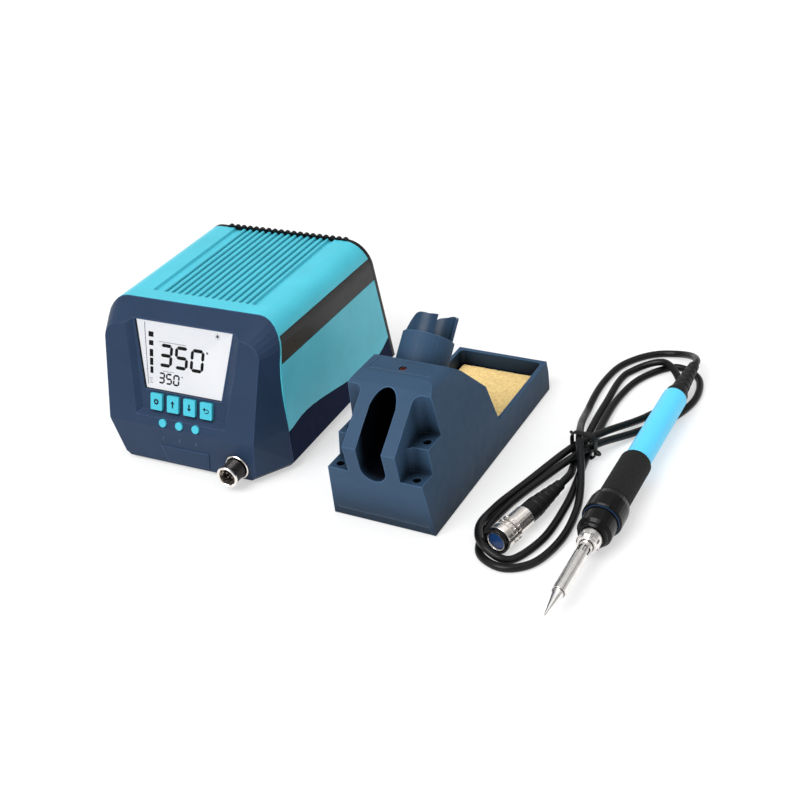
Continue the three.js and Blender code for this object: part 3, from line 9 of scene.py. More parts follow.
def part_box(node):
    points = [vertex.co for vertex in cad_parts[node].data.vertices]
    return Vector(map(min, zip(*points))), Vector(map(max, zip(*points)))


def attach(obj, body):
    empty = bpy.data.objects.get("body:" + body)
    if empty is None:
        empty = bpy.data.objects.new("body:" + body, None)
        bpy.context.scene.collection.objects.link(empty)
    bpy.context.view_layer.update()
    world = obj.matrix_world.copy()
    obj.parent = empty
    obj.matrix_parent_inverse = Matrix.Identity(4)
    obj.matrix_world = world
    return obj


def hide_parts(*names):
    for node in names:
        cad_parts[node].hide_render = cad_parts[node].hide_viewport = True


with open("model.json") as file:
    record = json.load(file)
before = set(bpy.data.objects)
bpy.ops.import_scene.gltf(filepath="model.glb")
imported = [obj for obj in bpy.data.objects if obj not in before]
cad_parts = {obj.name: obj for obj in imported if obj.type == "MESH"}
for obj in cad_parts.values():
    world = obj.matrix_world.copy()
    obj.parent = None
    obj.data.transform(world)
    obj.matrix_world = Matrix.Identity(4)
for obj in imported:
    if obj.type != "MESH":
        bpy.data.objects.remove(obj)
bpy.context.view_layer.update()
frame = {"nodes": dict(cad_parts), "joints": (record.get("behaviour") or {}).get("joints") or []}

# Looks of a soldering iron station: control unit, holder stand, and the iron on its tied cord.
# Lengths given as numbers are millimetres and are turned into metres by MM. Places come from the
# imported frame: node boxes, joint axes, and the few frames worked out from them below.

MM = 0.001

# ------------------------------------------------------------------ places taken from the frame


def joint(name):
    return next(j for j in frame["joints"] if j["name"] == name)


def middle(node):
    low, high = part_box(node)
    return (low + high) / 2


def reach(node, direction):
    """Lowest and highest distance of a node's corners along a direction, in metres."""
    spans = [v.co.dot(direction) for v in frame["nodes"][node].data.vertices]
    return min(spans), max(spans)


def local_corners(node, place):
    """A node's corners in a local frame, in millimetres."""
    inverse = place.inverted()
    return [inverse @ v.co for v in frame["nodes"][node].data.vertices]


def frame_at(origin, x_axis, y_axis, z_axis):
    matrix = Matrix((x_axis, y_axis, z_axis)).transposed().to_4x4()
    matrix.translation = origin
    return matrix @ Matrix.Scale(MM, 4)


UP = Vector((0, 0, 1))
RIGHT = Vector((1, 0, 0))
BACK = Vector((0, 1, 0))


def along_spin(name, front_node):
    """A spin joint's axis, a point on it, the front of a node on it, and the frame at that front."""
    axis = Vector(joint(name)["axis"]).normalized()
    point = Vector(joint(name)["pos_m"])
    zero = point + axis * (reach(front_node, axis)[0] - point.dot(axis))
    return axis, point, zero, frame_at(zero, axis.cross(UP), axis, UP)


# The bench frame has its zero at the middle of the unit's front seam, as the cord's route has.
FOOT_PLACE = Vector((-46, 2, 0)) * MM
bench_zero = middle("foot_1") - FOOT_PLACE
bench_zero.z = 0

# Panel frame: x to the right, y up the sloping front, z outwards, on the front of the window.
panel_normal = -Vector(joint("key_up_press")["axis"])
panel_up = panel_normal.cross(RIGHT)
window_low, window_high = reach("display_window", panel_up)
window_front = reach("display_window", panel_normal)[1]
window_middle = middle("display_window")
panel_zero = Vector((window_middle.x, 0, 0)) + panel_up * window_high + panel_normal * window_front
panel = frame_at(panel_zero, RIGHT, panel_up, panel_normal)

# Iron and plug frames: y runs back from the tip, and back from the plug's mouth.
iron_axis, iron_point, iron_zero, iron = along_spin("iron_nut_spin", "iron_tip")
plug_axis, plug_point, _, plug = along_spin("plug_ring_spin", "plug_ring")


def span_on_iron(node):
    """How far behind the tip a node starts, and how long it is, in millimetres."""
    low, high = reach(node, iron_axis)
    return (low - iron_zero.dot(iron_axis)) / MM, (high - low) / MM


# Stand frame: y runs back along the stand, x to its right, at its front middle on the bench.
pad_front = (middle("stand_pad_1") + middle("stand_pad_2")) / 2
pad_rear = (middle("stand_pad_3") + middle("stand_pad_4")) / 2
stand_back = Vector((pad_rear.x - pad_front.x, pad_rear.y - pad_front.y, 0)).normalized()
stand_right = stand_back.cross(UP)
PAD_FROM_FRONT = 9
stand_zero = Vector((pad_front.x, pad_front.y, 0)) - stand_back * PAD_FROM_FRONT * MM
stand = frame_at(stand_zero, stand_right, stand_back, UP)


def put(name, data):
    """A new object in the scene."""
    made = bpy.data.objects.new(name, data)
    bpy.context.scene.collection.objects.link(made)
    return made


# ------------------------------------------------------------------ camera

CAMERA = {
    "azimuth": 29.8,
    "elevation": 31.26,
    "roll": -6.5,
    "lens": 57.35,
    "distance": 841.1,
    "aim": (-5.26, 34.36, 13.37),
}


def make_camera():
    azimuth = math.radians(CAMERA["azimuth"])
    elevation = math.radians(CAMERA["elevation"])
    roll = math.radians(CAMERA["roll"])
    forward = Vector((
        -math.sin(azimuth) * math.cos(elevation),
        math.cos(azimuth) * math.cos(elevation),
        -math.sin(elevation),
    ))
    level = Vector((math.cos(azimuth), math.sin(azimuth), 0))
    above = level.cross(forward)
    side = level * math.cos(roll) + above * math.sin(roll)
    top = above * math.cos(roll) - level * math.sin(roll)
    data = bpy.data.cameras.new("camera")
    data.lens = CAMERA["lens"]
    data.sensor_width = 36
    data.clip_start = 0.01
    data.clip_end = 20
    camera = put("camera", data)
    matrix = Matrix((side, top, -forward)).transposed().to_4x4()
    matrix.translation = Vector(CAMERA["aim"]) * MM - forward * CAMERA["distance"] * MM
    camera.matrix_world = matrix
    bpy.context.scene.camera = camera


make_camera()

# ------------------------------------------------------------------ materials

NOISE_BAND = (0.3, 0.7)       # the middle of a noise, over which a drift runs
HOLLOW_BAND = (0.3, 0.85)     # how open a place is where its shade ends and starts
EDGE_BAND = (0.86, 0.97)      # how little a rounded normal turns where the painted edge highlight stops
LEAST_ROUGHNESS = 0.02


def linear(red, green, blue):
    """A screen colour from 0 to 255 as the linear colour that shaders take."""
    return tuple(
        ((c / 255 + 0.055) / 1.055) ** 2.4 if c > 10 else c / 255 / 12.92 for c in (red, green, blue)
    ) + (1.0,)


def grey(value):
    return (value, value, value, 1)


class Surface:
    """A node material round one Principled shader, on object coordinates."""

    def __init__(self, name, colour, roughness, metallic=0.0, **sockets):
        self.material = bpy.data.materials.new(name)
        self.material.use_nodes = True
        self.tree = self.material.node_tree
        self.shader = self.tree.nodes["Principled BSDF"]
        self.colour = linear(*colour)
        self.shader.inputs["Base Color"].default_value = self.colour
        self.shader.inputs["Roughness"].default_value = roughness
        self.shader.inputs["Metallic"].default_value = metallic
        self.roughness = roughness
        for socket, value in sockets.items():
            self.shader.inputs[socket.replace("_", " ")].default_value = value
        self.place = self.node("ShaderNodeTexCoord").outputs["Object"]
        self.normal = None

    def node(self, kind, **values):
        made = self.tree.nodes.new(kind)
        for key, value in values.items():
            setattr(made, key, value)
        return made

    def link(self, output, socket):
        self.tree.links.new(output, socket)

    def scaled(self, factor):
        """The base colour made lighter or darker."""
        return tuple(min(1, c * factor) for c in self.colour[:3]) + (1,)

    def texture(self, kind, scale, **values):
        """The outputs of a texture on the object's own coordinates."""
        made = self.node(kind, **values)
        made.inputs["Scale"].default_value = scale
        self.link(self.place, made.inputs["Vector"])
        return made.outputs

    def noise(self, scale, detail, stretch=None):
        """Noise with features of about 1/scale metres, stretched along an axis if asked."""
        made = self.node("ShaderNodeTexNoise")
        made.inputs["Scale"].default_value = scale
        made.inputs["Detail"].default_value = detail
        place = self.place
        if stretch:
            mapping = self.node("ShaderNodeMapping")
            mapping.inputs["Scale"].default_value = stretch
            self.link(place, mapping.inputs["Vector"])
            place = mapping.outputs["Vector"]
        self.link(place, made.inputs["Vector"])
        return made.outputs["Fac"]

    def ramp(self, source, low, high, low_colour=grey(0), high_colour=grey(1)):
        made = self.node("ShaderNodeValToRGB")
        for stop, position, colour in zip(made.color_ramp.elements, (low, high), (low_colour, high_colour)):
            stop.position = position
            stop.color = colour
        self.link(source, made.inputs["Fac"])
        return made.outputs["Color"]

    def mottle(self, scale, amount, detail=4.0):
        """Lets the colour drift a little lighter and darker."""
        drift = self.noise(scale, detail)
        shade = self.ramp(drift, *NOISE_BAND, self.scaled(1 - amount), self.scaled(1 + amount))
        self.link(shade, self.shader.inputs["Base Color"])
        return self

    def wear(self, scale, amount, stretch=None):
        """Lets the roughness drift round its own value."""
        low, high = max(LEAST_ROUGHNESS, self.roughness - amount), min(1, self.roughness + amount)
        drift = self.ramp(self.noise(scale, 2.0, stretch), *NOISE_BAND, grey(low), grey(high))
        self.link(drift, self.shader.inputs["Roughness"])
        return self

    def bump(self, source, depth):
        made = self.node("ShaderNodeBump")
        made.inputs["Strength"].default_value = 1.0
        made.inputs["Distance"].default_value = depth * MM
        self.link(source, made.inputs["Height"])
        if self.normal:
            self.link(self.normal, made.inputs["Normal"])
        self.normal = made.outputs["Normal"]
        self.link(self.normal, self.shader.inputs["Normal"])
        return self

    def grain(self, scale, depth, stretch=None):
        return self.bump(self.noise(scale, 2.0, stretch), depth)

    def recolour(self, factor, blend, colour):
        """Blends a colour over the base colour by a factor from the tree."""
        made = self.node("ShaderNodeMix", data_type="RGBA", blend_type=blend)
        base = self.shader.inputs["Base Color"]
        self.link(factor, made.inputs[0])
        self.link(base.links[0].from_socket, made.inputs[6])
        made.inputs[7].default_value = colour
        self.link(made.outputs[2], base)
        return self

    def shaded(self, distance, depth):
        """Paints shade into grooves, corners and hollows that lie within a distance in millimetres of a wall.
        """
        near = self.node("ShaderNodeAmbientOcclusion", samples=8)
        near.inputs["Distance"].default_value = distance * MM
        closed = self.node("ShaderNodeInvert")
        self.link(self.ramp(near.outputs["AO"], *HOLLOW_BAND), closed.inputs["Color"])
        return self.recolour(closed.outputs["Color"], "MULTIPLY", grey(1 - depth))

    def edged(self, radius, lift):
        """Rounds the look of outer edges and paints a lighter highlight along them."""
        rounded, edge = (self.node("ShaderNodeBevel", samples=6) for _ in range(2))
        for bevel in (rounded, edge):
            bevel.inputs["Radius"].default_value = radius * MM
        if self.normal:
            self.link(self.normal, rounded.inputs["Normal"])
        turn = self.node("ShaderNodeVectorMath", operation="DOT_PRODUCT")
        self.link(edge.outputs["Normal"], turn.inputs[0])
        self.link(self.node("ShaderNodeNewGeometry").outputs["Normal"], turn.inputs[1])
        # painted highlight: outer edges made lighter than the base colour
        painted_edge_highlight = self.ramp(turn.outputs["Value"], *EDGE_BAND, grey(1), grey(0))
        self.normal = rounded.outputs["Normal"]
        self.link(self.normal, self.shader.inputs["Normal"])
        return self.recolour(painted_edge_highlight, "MIX", self.scaled(1 + lift))


def moulded(name, colour, roughness, grain_depth, edge=0.0, lift=0.5, hollow=0.0, dark=0.9,
            drift=0.05, **sockets):
    """Injection moulded plastic: a fine spark-eroded grain and a slow drift in colour and gloss."""
    surface = Surface(name, colour, roughness, **sockets)
    surface.mottle(45, drift, 2.0).wear(160, drift)
    if grain_depth:
        surface.grain(2600, grain_depth)
    # a painted highlight along the outer edges
    if edge:
        surface.edged(edge, lift)
    # painted shade in grooves, corners and hollows
    if hollow:
        surface.shaded(hollow, dark)
    return surface


def plated(name, colour, roughness, stretch=None, depth=0.9):
    """Nickel plate or turned steel, with fine marks and a little tarnish, and painted shade in its slots."""
    surface = Surface(name, colour, roughness, 1.0)
    return surface.mottle(220, 0.06).wear(700, 0.06, stretch).grain(2400, 0.01, stretch).shaded(3, depth)


def rubber(name, colour, roughness):
    surface = Surface(name, colour, roughness, Specular_IOR_Level=0.25)
    return surface.mottle(120, 0.15).wear(300, 0.06).grain(1800, 0.03)


def layered(name, colour, roughness, across, scale, depth, spots):
    """Metal with even ridges across one axis: a stack of core sheets, or the turns of a winding."""
    surface = Surface(name, colour, roughness, 1.0)
    ridges = surface.texture("ShaderNodeTexWave", scale, bands_direction=across)["Color"]
    return surface.bump(ridges, depth).mottle(spots, 0.2)


def make_sponge_surface():
    surface = Surface("cellulose_sponge", (255, 212, 142), 0.92, Specular_IOR_Level=0.2, Sheen_Weight=0.15)
    pores = surface.mottle(500, 0.16, 6.0).texture("ShaderNodeTexVoronoi", 620)["Distance"]
    surface.bump(surface.ramp(pores, 0.05, 0.6), 0.35)
    return surface.bump(surface.noise(1500, 6.0), 0.2)


def make_foam_surface():
    surface = Surface("grip_foam", (28, 28, 29), 0.93, Specular_IOR_Level=0.15, Sheen_Weight=0.05)
    cells = surface.mottle(1400, 0.35, 6.0).texture("ShaderNodeTexVoronoi", 1700)["Distance"]
    return surface.bump(surface.ramp(cells, 0.0, 0.5), 0.12)


# The stand's slot in the stand's frame: half its width, the middle of its round lower end, its top,
# how far back it goes, and where the painted shade on its walls starts and where it is full.
SLOT = {"half": 8.3, "low": 42.3, "top": 74, "back": 50, "mouth": -5, "dark_from": 1.5}
SLOT_MARGIN = 0.1


def paint_slot_shade(surface):
    """Paints shade on the walls of the stand's slot, falling off into the dark within a few millimetres."""

    def result(kind, operation, *values):
        made = surface.node(kind, operation=operation)
        for socket, value in zip(made.inputs, values):
            if isinstance(value, bpy.types.NodeSocket):
                surface.link(value, socket)
            else:
                socket.default_value = value
        return made.outputs["Value"]

    def maths(operation, *values):
        return result("ShaderNodeMath", operation, *values)

    def along(axis):
        far = result("ShaderNodeVectorMath", "DOT_PRODUCT", surface.place, axis)
        return maths("SUBTRACT", far, stand_zero.dot(axis))

    across, back, height = along(stand_right), along(stand_back), along(UP)
    below = maths("MAXIMUM", maths("SUBTRACT", SLOT["low"] * MM, height), 0.0)
    squares = [maths("POWER", maths("ABSOLUTE", x), 2.0) for x in (across, below)]
    radius = maths("POWER", maths("ADD", *squares), 0.5)
    depth = surface.node("ShaderNodeMapRange")
    depth.inputs["From Min"].default_value = SLOT["mouth"] * MM
    depth.inputs["From Max"].default_value = SLOT["dark_from"] * MM
    surface.link(back, depth.inputs["Value"])
    factor = depth.outputs["Result"]
    for value, limit in ((radius, SLOT["half"] + SLOT_MARGIN), (height, SLOT["top"]), (back, SLOT["back"])):
        factor = maths("MULTIPLY", factor, maths("LESS_THAN", value, limit * MM))
    # near-black painted shade over the slot's walls
    surface.recolour(factor, "MIX", linear(3, 5, 12))


DULL = {"Specular_IOR_Level": 0.2}
DEEP = {"Specular_IOR_Level": 0.12}
DARK = {"Specular_IOR_Level": 0.03}

# edge and lift paint a highlight along outer edges; hollow and dark paint shade into grooves and corners
SURFACES = {
    "teal": moulded("teal_cover", (76, 194, 214), 0.34, 0.012, edge=0.6, lift=0.2, hollow=6, dark=0.5,
                    Specular_IOR_Level=0.35),
    "strip": moulded("dark_strip", (34, 31, 31), 0.32, 0.01, **DULL),
    "navy": moulded("navy_moulding", (38, 55, 80), 0.42, 0.02, edge=1.2, lift=1.5, hollow=8, dark=0.75,
                    **DEEP),
    "deep_navy": moulded("deep_navy_base", (6, 22, 54), 0.45, 0.02, edge=0.5, hollow=12, **DARK),
    "slate": moulded("slate_moulding", (50, 74, 99), 0.5, 0.035, edge=1.0, lift=1.5, hollow=40, dark=0.98,
                     **DEEP),
    "sleeve": moulded("holder_sleeve_dark", (32, 56, 80), 0.34, 0.02, edge=0.5, lift=1.6, hollow=26,
                      **DULL),
    "black": moulded("black_plastic", (18, 18, 20), 0.42, 0.02, hollow=6, **DULL),
    "gloss_black": moulded("gloss_black_plastic", (8, 8, 9), 0.22, 0.01, **DULL),
    "key": moulded("key_teal", (68, 178, 198), 0.4, 0.015, edge=0.3, lift=0.2, **DULL),
    "print": moulded("dark_print", (10, 28, 40), 0.5, 0.01, **DEEP),
    "label": moulded("pale_label_print", (84, 98, 130), 0.5, 0.01, **DULL),
    "segment": moulded("display_segments", (6, 7, 9), 0.6, 0.0, **DEEP),
    "faint": moulded("display_faint_marks", (72, 76, 84), 0.6, 0.0, **DEEP),
    "sky": moulded("sky_handle", (92, 208, 250), 0.34, 0.0, drift=0.015, Specular_IOR_Level=0.3),
    "rubber": rubber("black_rubber", (10, 10, 11), 0.5),
    "cord": rubber("cord_jacket", (9, 9, 10), 0.34),
    "ring": moulded("blue_ring", (16, 44, 72), 0.35, 0.01, **DULL),
    "blue": moulded("blue_insert", (24, 58, 108), 0.25, 0.01, hollow=3, dark=0.95, Coat_Weight=0.2),
    "nickel": plated("nickel_plate", (244, 238, 232), 0.25, depth=0.6),
    "dark_nickel": plated("dark_nickel_thread", (70, 68, 68), 0.32),
    "steel": plated("bright_steel", (244, 241, 238), 0.27, (1, 0.12, 1)),
    "brown": plated("browned_screw", (124, 62, 52), 0.42),
    "ceramic": moulded("heater_ceramic", (230, 226, 214), 0.55, 0.02),
    "sponge": make_sponge_surface(),
    "foam": make_foam_surface(),
    "window": Surface("display_window_clear", (30, 32, 36), 0.08, Alpha=0.04).wear(90, 0.02),
    "backlit": Surface("display_backlit_white", (150, 152, 156), 0.6, Emission_Strength=0.62,
                       Emission_Color=linear(246, 247, 250)).mottle(30, 0.015),
    "core": layered("core_sheets", (120, 122, 124), 0.45, "Y", 320, 0.15, 90),
    "winding": layered("varnished_winding", (172, 92, 44), 0.3, "Z", 260, 0.4, 60),
    "board": Surface("circuit_board", (28, 98, 62), 0.4)
    .mottle(240, 0.25, 1.0).wear(400, 0.1).grain(500, 0.1),
}
# painted shade in the stand's slot, over the slate
paint_slot_shade(SURFACES["slate"])
LOOK = {name: surface.material for name, surface in SURFACES.items()}

# ------------------------------------------------------------------ making pieces


def add(name, mesh, body, look):
    piece = put(name, mesh)
    mesh.materials.append(LOOK[look])
    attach(piece, body)
    return piece


def mesh_of(name, points, faces, matrix, smooth=None):
    """A mesh from points in a local frame in millimetres. Edges sharper than smooth degrees stay sharp."""
    mesh = bpy.data.meshes.new(name)
    mesh.from_pydata([matrix @ Vector(p) for p in points], [], faces)
    mesh.update()
    tidy = bmesh.new()
    tidy.from_mesh(mesh)
    bmesh.ops.remove_doubles(tidy, verts=tidy.verts, dist=1e-6)
    bmesh.ops.recalc_face_normals(tidy, faces=tidy.faces)
    if smooth is not None:
        limit = math.radians(smooth)
        for face in tidy.faces:
            face.smooth = True
        for edge in tidy.edges:
            edge.smooth = len(edge.link_faces) == 2 and edge.calc_face_angle() < limit
    tidy.to_mesh(mesh)
    tidy.free()
    return mesh


def build(name, parts, place, body, look, smooth=None):
    """Adds a piece from points and faces in a local frame."""
    return add(name, mesh_of(name, *parts, place, smooth), body, look)


def prism(outline, low, high):
    """Points and faces of a flat outline (x, y) stood between two heights."""
    count = len(outline)
    points = [(x, y, low) for x, y in outline] + [(x, y, high) for x, y in outline]
    faces = [list(range(count))[::-1], list(range(count, 2 * count))]
    faces += [[i, (i + 1) % count, (i + 1) % count + count, i + count] for i in range(count)]
    return points, faces


def gathered(parts):
    """Several point and face lists as one."""
    points, faces = [], []
    for part_points, part_faces in parts:
        start = len(points)
        points += part_points
        faces += [[start + i for i in face] for face in part_faces]
    return points, faces


def ring_faces(rings, size, closed=True):
    """Faces between neighbouring rings of points, each ring with the same number of points."""
    faces = []
    for i in range(rings if closed else rings - 1):
        here, there = i * size, (i + 1) % rings * size
        faces += [[here + k, here + (k + 1) % size, there + (k + 1) % size, there + k] for k in range(size)]
    return faces


def turned(profile, segments, shape=None):
    """A closed profile of (radius, along) revolved about y. shape(angle, along) scales the radius."""
    points = []
    for i in range(segments):
        angle = 2 * math.pi * i / segments
        for radius, along in profile:
            r = radius * (shape(angle, along) if shape else 1)
            points.append((r * math.cos(angle), along, r * math.sin(angle)))
    return points, ring_faces(segments, len(profile))


def arc(x, y, radius, start, end, steps=8):
    return [
        (x + radius * math.cos(math.radians(start + (end - start) * i / steps)),
         y + radius * math.sin(math.radians(start + (end - start) * i / steps)))
        for i in range(steps + 1)
    ]


def smooth_group(limit):
    """A modifier that shades smooth, except over edges sharper than the limit in degrees."""
    name = f"smooth_below_{limit}"
    if name in bpy.data.node_groups:
        return bpy.data.node_groups[name]
    tree = bpy.data.node_groups.new(name, "GeometryNodeTree")
    tree.interface.new_socket("Geometry", in_out="INPUT", socket_type="NodeSocketGeometry")
    tree.interface.new_socket("Geometry", in_out="OUTPUT", socket_type="NodeSocketGeometry")
    start = tree.nodes.new("NodeGroupInput")
    end = tree.nodes.new("NodeGroupOutput")
    bare = tree.nodes.new("GeometryNodeRemoveAttribute")
    bare.inputs["Name"].default_value = "custom_normal"
    faces = tree.nodes.new("GeometryNodeSetShadeSmooth")
    edges = tree.nodes.new("GeometryNodeSetShadeSmooth")
    edges.domain = "EDGE"
    edges.inputs["Shade Smooth"].default_value = False
    angle = tree.nodes.new("GeometryNodeInputMeshEdgeAngle")
    sharp = tree.nodes.new("FunctionNodeCompare")
    sharp.operation = "GREATER_THAN"
    sharp.inputs["B"].default_value = math.radians(limit)
    for output, socket in (
        (start.outputs[0], bare.inputs["Geometry"]),
        (bare.outputs["Geometry"], faces.inputs["Geometry"]),
        (faces.outputs["Geometry"], edges.inputs["Geometry"]),
        (angle.outputs["Unsigned Angle"], sharp.inputs["A"]),
        (sharp.outputs["Result"], edges.inputs["Selection"]),
        (edges.outputs["Geometry"], end.inputs[0]),
    ):
        tree.links.new(output, socket)
    return tree


# Angles in degrees: faces that differ less are one flat face, edges sharper than the next two are
# bevelled and shaded sharp.
FLAT_LIMIT = 0.6
BEVEL_LIMIT = 28
SHADE_LIMIT = 35


def soften(piece, width):
    """Rounds a piece's edges with a small bevel, and shades its round faces smooth.

    A width of 0 leaves the edges sharp, and None leaves the whole mesh as it is.
    """
    if width is not None:
        flat = piece.modifiers.new("merge_flat", "DECIMATE")
        flat.decimate_type = "DISSOLVE"
        flat.angle_limit = math.radians(FLAT_LIMIT)
    if width:
        bevel = piece.modifiers.new("edges", "BEVEL")
        bevel.width = width * MM
        bevel.segments = 2
        bevel.limit_method = "ANGLE"
        bevel.angle_limit = math.radians(BEVEL_LIMIT)
        bevel.use_clamp_overlap = True
        bevel.harden_normals = False
    piece.cycles.shadow_terminator_offset = 0.15
    piece.cycles.shadow_terminator_geometry_offset = 0.2
    shading = piece.modifiers.new("shading", "NODES")
    shading.node_group = smooth_group(SHADE_LIMIT)
    weighted = piece.modifiers.new("weighted", "WEIGHTED_NORMAL")
    weighted.mode = "FACE_AREA"
    weighted.keep_sharp = True


# ------------------------------------------------------------------ cord

CORD_RADIUS = 2.4
CORD_END_GAP = 0.3
CORD_SPAN_STEPS = 12
CORD_ROUTE = [
    (271.4, 175, 12), (265, 187, 8), (253, 194.5, 3.6), (238, 191.5, 2.4),
    (222, 173, 2.4), (216.5, 147, 2.4), (218, 110, 2.4), (222.5, 85, 8.5),
    (229.5, 62, 14), (234, 50, 13.4), (239.5, 36, 9.4), (247, 9, 2.6),
    (248.5, -25, 2.4), (240.5, -49.5, 2.4), (227, -57.5, 2.4), (211.5, -51.5, 2.4),
    (205.8, -37, 2.4), (207.5, -7, 2.4), (219.5, 28, 4.4), (236.5, 60.5, 8.7),
    (256, 93.5, 3.4), (273.5, 120.5, 2.4), (279.5, 146, 2.4), (273.5, 170, 2.4),
    (257, 179, 2.4), (240, 161, 2.4), (232.3, 131, 2.4), (235, 64, 3.7),
    (240.3, 8, 2.4), (238, -30, 2.4), (227, -51, 2.9), (211.5, -48, 7.4),
    (203.5, -35, 7.4), (201.5, -10, 2.6), (211.5, 23, 3.6), (228, 61, 8.7),
    (238.5, 79, 8.3), (255, 112, 2.4), (270.5, 141, 2.4), (250, 174, 7.8),
    (229.5, 165, 2.4), (226.3, 120, 2.4), (229.6, 64, 3.7), (231, 46, 3.2),
    (234.4, 31, 7.6),
]


def span_points(before, start, end, after, steps):
    """Points on one span of a centripetal Catmull-Rom curve, without its end point."""
    pairs = ((before, start), (start, end), (end, after))
    first, own, last = (max(1e-6, (b - a).length ** 0.5) for a, b in pairs)
    across = (end - start) / own
    leave = ((start - before) / first - (end - before) / (first + own) + across) * own
    arrive = (across - (after - start) / (own + last) + (after - end) / last) * own
    made = []
    for i in range(steps):
        t = i / steps
        made.append(
            start + leave * t
            + (3 * (end - start) - 2 * leave - arrive) * t ** 2
            + (2 * (start - end) + leave + arrive) * t ** 3
        )
    return made


def cord_points():
    """The cord's centreline from the iron's boot to the plug's boot, in metres."""
    boot_end = reach("cord_boot", iron_axis)[1] + CORD_END_GAP * MM
    plug_end = reach("plug_boot", plug_axis)[1] + CORD_END_GAP * MM
    leave = iron_point + iron_axis * (boot_end - iron_point.dot(iron_axis))
    arrive = plug_point + plug_axis * (plug_end - plug_point.dot(plug_axis))
    route = [leave] + [bench_zero + Vector(p) * MM for p in CORD_ROUTE] + [arrive]
    ends = [route[0] * 2 - route[1]] + route + [route[-1] * 2 - route[-2]]
    points = []
    for i in range(len(route) - 1):
        points += span_points(*ends[i:i + 4], CORD_SPAN_STEPS)
    points.append(arrive)
    for point in points:
        point.z = max(point.z, CORD_RADIUS * MM)
    return points


def tube(name, points, radius, body, look, resolution):
    """A round wire along points in metres."""
    data = bpy.data.curves.new(name, "CURVE")
    data.dimensions = "3D"
    data.bevel_depth = radius * MM
    data.bevel_resolution = resolution
    data.use_fill_caps = True
    spline = data.splines.new("POLY")
    spline.points.add(len(points) - 1)
    for place, point in zip(spline.points, points):
        place.co = (*point, 1)
    spline.use_smooth = True
    data.materials.append(LOOK[look])
    piece = put(name, data)
    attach(piece, body)
    return piece


def make_cord():
    points = cord_points()
    length = sum((b - a).length for a, b in zip(points, points[1:]))
    cord = tube("cord_jacket", points, CORD_RADIUS, "iron", "cord", resolution=6)
    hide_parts("cord")
    return cord, points[0], length


TIE = {"half": 8.5, "height": 17.4, "corner": 4, "wire": 0.8, "heading": 82, "x": 232.3, "y": 61.5}
# Places across the tie's band, and how thick it is there.
TIE_SECTION = [(-2.2, 0.5), (-1.1, 1.1), (1.1, 1.1), (2.2, 0.5)]


def make_tie():
    """The twist tie: a flat band round the strands, its ends twisted together into a tail and a loop."""
    turn = math.radians(TIE["heading"])
    back = Vector((math.cos(turn), math.sin(turn), 0))
    place = frame_at(bench_zero + Vector((TIE["x"], TIE["y"], 0)) * MM, back.cross(UP), back, UP)
    half, corner = TIE["half"] - 0.5, TIE["corner"]
    low, high = 0.8, TIE["height"] - 0.2
    ring = (
        arc(half - corner, high - corner, corner, 0, 90)
        + arc(corner - half, high - corner, corner, 90, 180)
        + arc(corner - half, low + corner, corner, 180, 270)
        + arc(half - corner, low + corner, corner, 270, 360)
    )
    section = [(w, t / 2) for w, t in TIE_SECTION] + [(w, -t / 2) for w, t in reversed(TIE_SECTION)]
    points = []
    for i, (x, z) in enumerate(ring):
        before, after = ring[i - 1], ring[(i + 1) % len(ring)]
        along = Vector((after[0] - before[0], after[1] - before[1])).normalized()
        points += [(x + along.y * t, w, z - along.x * t) for w, t in section]
    faces = ring_faces(len(ring), len(section))
    band = build("tie_band", (points, faces), place, "iron", "black", 40)
    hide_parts("cord_tie")

    def tail(share):
        spin = share * 6 * math.pi
        centre = Vector((-half - 0.4 - 2.4 * share, 0.6 + 3.4 * share, high - 2.4 - 2 * share ** 2))
        return centre + Vector((0.25 * math.cos(spin), 0, 0.25 * math.sin(spin)))

    def loop(share):
        angle = math.radians(150 - share * 300)
        reach_out = Vector((2.0 * math.cos(angle), -1.2 * math.sin(angle), 2.2 * math.sin(angle)))
        return Vector((half + 2.2, -2.4, 7.5)) + reach_out

    wires = []
    for name, path, count in (("tie_tail", tail, 40), ("tie_loop", loop, 28)):
        points = [place @ path(i / (count - 1)) for i in range(count)]
        wires.append(tube(name, points, TIE["wire"], "iron", "black", resolution=3))
    return [band, *wires]


cord, cord_exit, cord_length = make_cord()
tie_pieces = make_tie()

# ------------------------------------------------------------------ display, keys and labels

DISPLAY_FACE = {"behind": 1.72, "thickness": 0.12}
MARK_HEIGHT = 0.06
FAINT_HEIGHT = 0.05
DIGIT_SLANT = 0.09

# Seven-segment shapes on a digit one wide and two high: which segments each figure lights.
SEGMENTS = {
    "3": "abcdg",
    "5": "acdfg",
    "0": "abcdef",
}


def segment_outlines(figure, x, y, width, height, thick):
    """Outlines of the lit segments of a slanting figure whose lower left corner is at x, y."""
    gap = thick * 0.06
    half = height / 2
    bevel = thick / 2

    def bar(x0, y0, x1, y1):
        if y0 == y1:
            raw = [
                (x0 + gap, y0), (x0 + gap + bevel, y0 + bevel), (x1 - gap - bevel, y0 + bevel),
                (x1 - gap, y0), (x1 - gap - bevel, y0 - bevel), (x0 + gap + bevel, y0 - bevel),
            ]
        else:
            raw = [
                (x0, y0 + gap), (x0 + bevel, y0 + gap + bevel), (x0 + bevel, y1 - gap - bevel),
                (x0, y1 - gap), (x0 - bevel, y1 - gap - bevel), (x0 - bevel, y0 + gap + bevel),
            ]
        return [(x + px + py * DIGIT_SLANT, y + py) for px, py in raw]

    bars = {
        "a": (0, height, width, height),
        "g": (0, half, width, half),
        "d": (0, 0, width, 0),
        "f": (0, half, 0, height),
        "b": (width, half, width, height),
        "e": (0, 0, 0, half),
        "c": (width, 0, width, half),
    }
    return [bar(*bars[name]) for name in SEGMENTS[figure]]


def flat_marks(name, outlines, low, high, look, matrix, body):
    build(name, gathered([prism(outline, low, high) for outline in outlines]), matrix, body, look)


def square(x, y, width, height):
    return [(x, y), (x + width, y), (x + width, y + height), (x, y + height)]


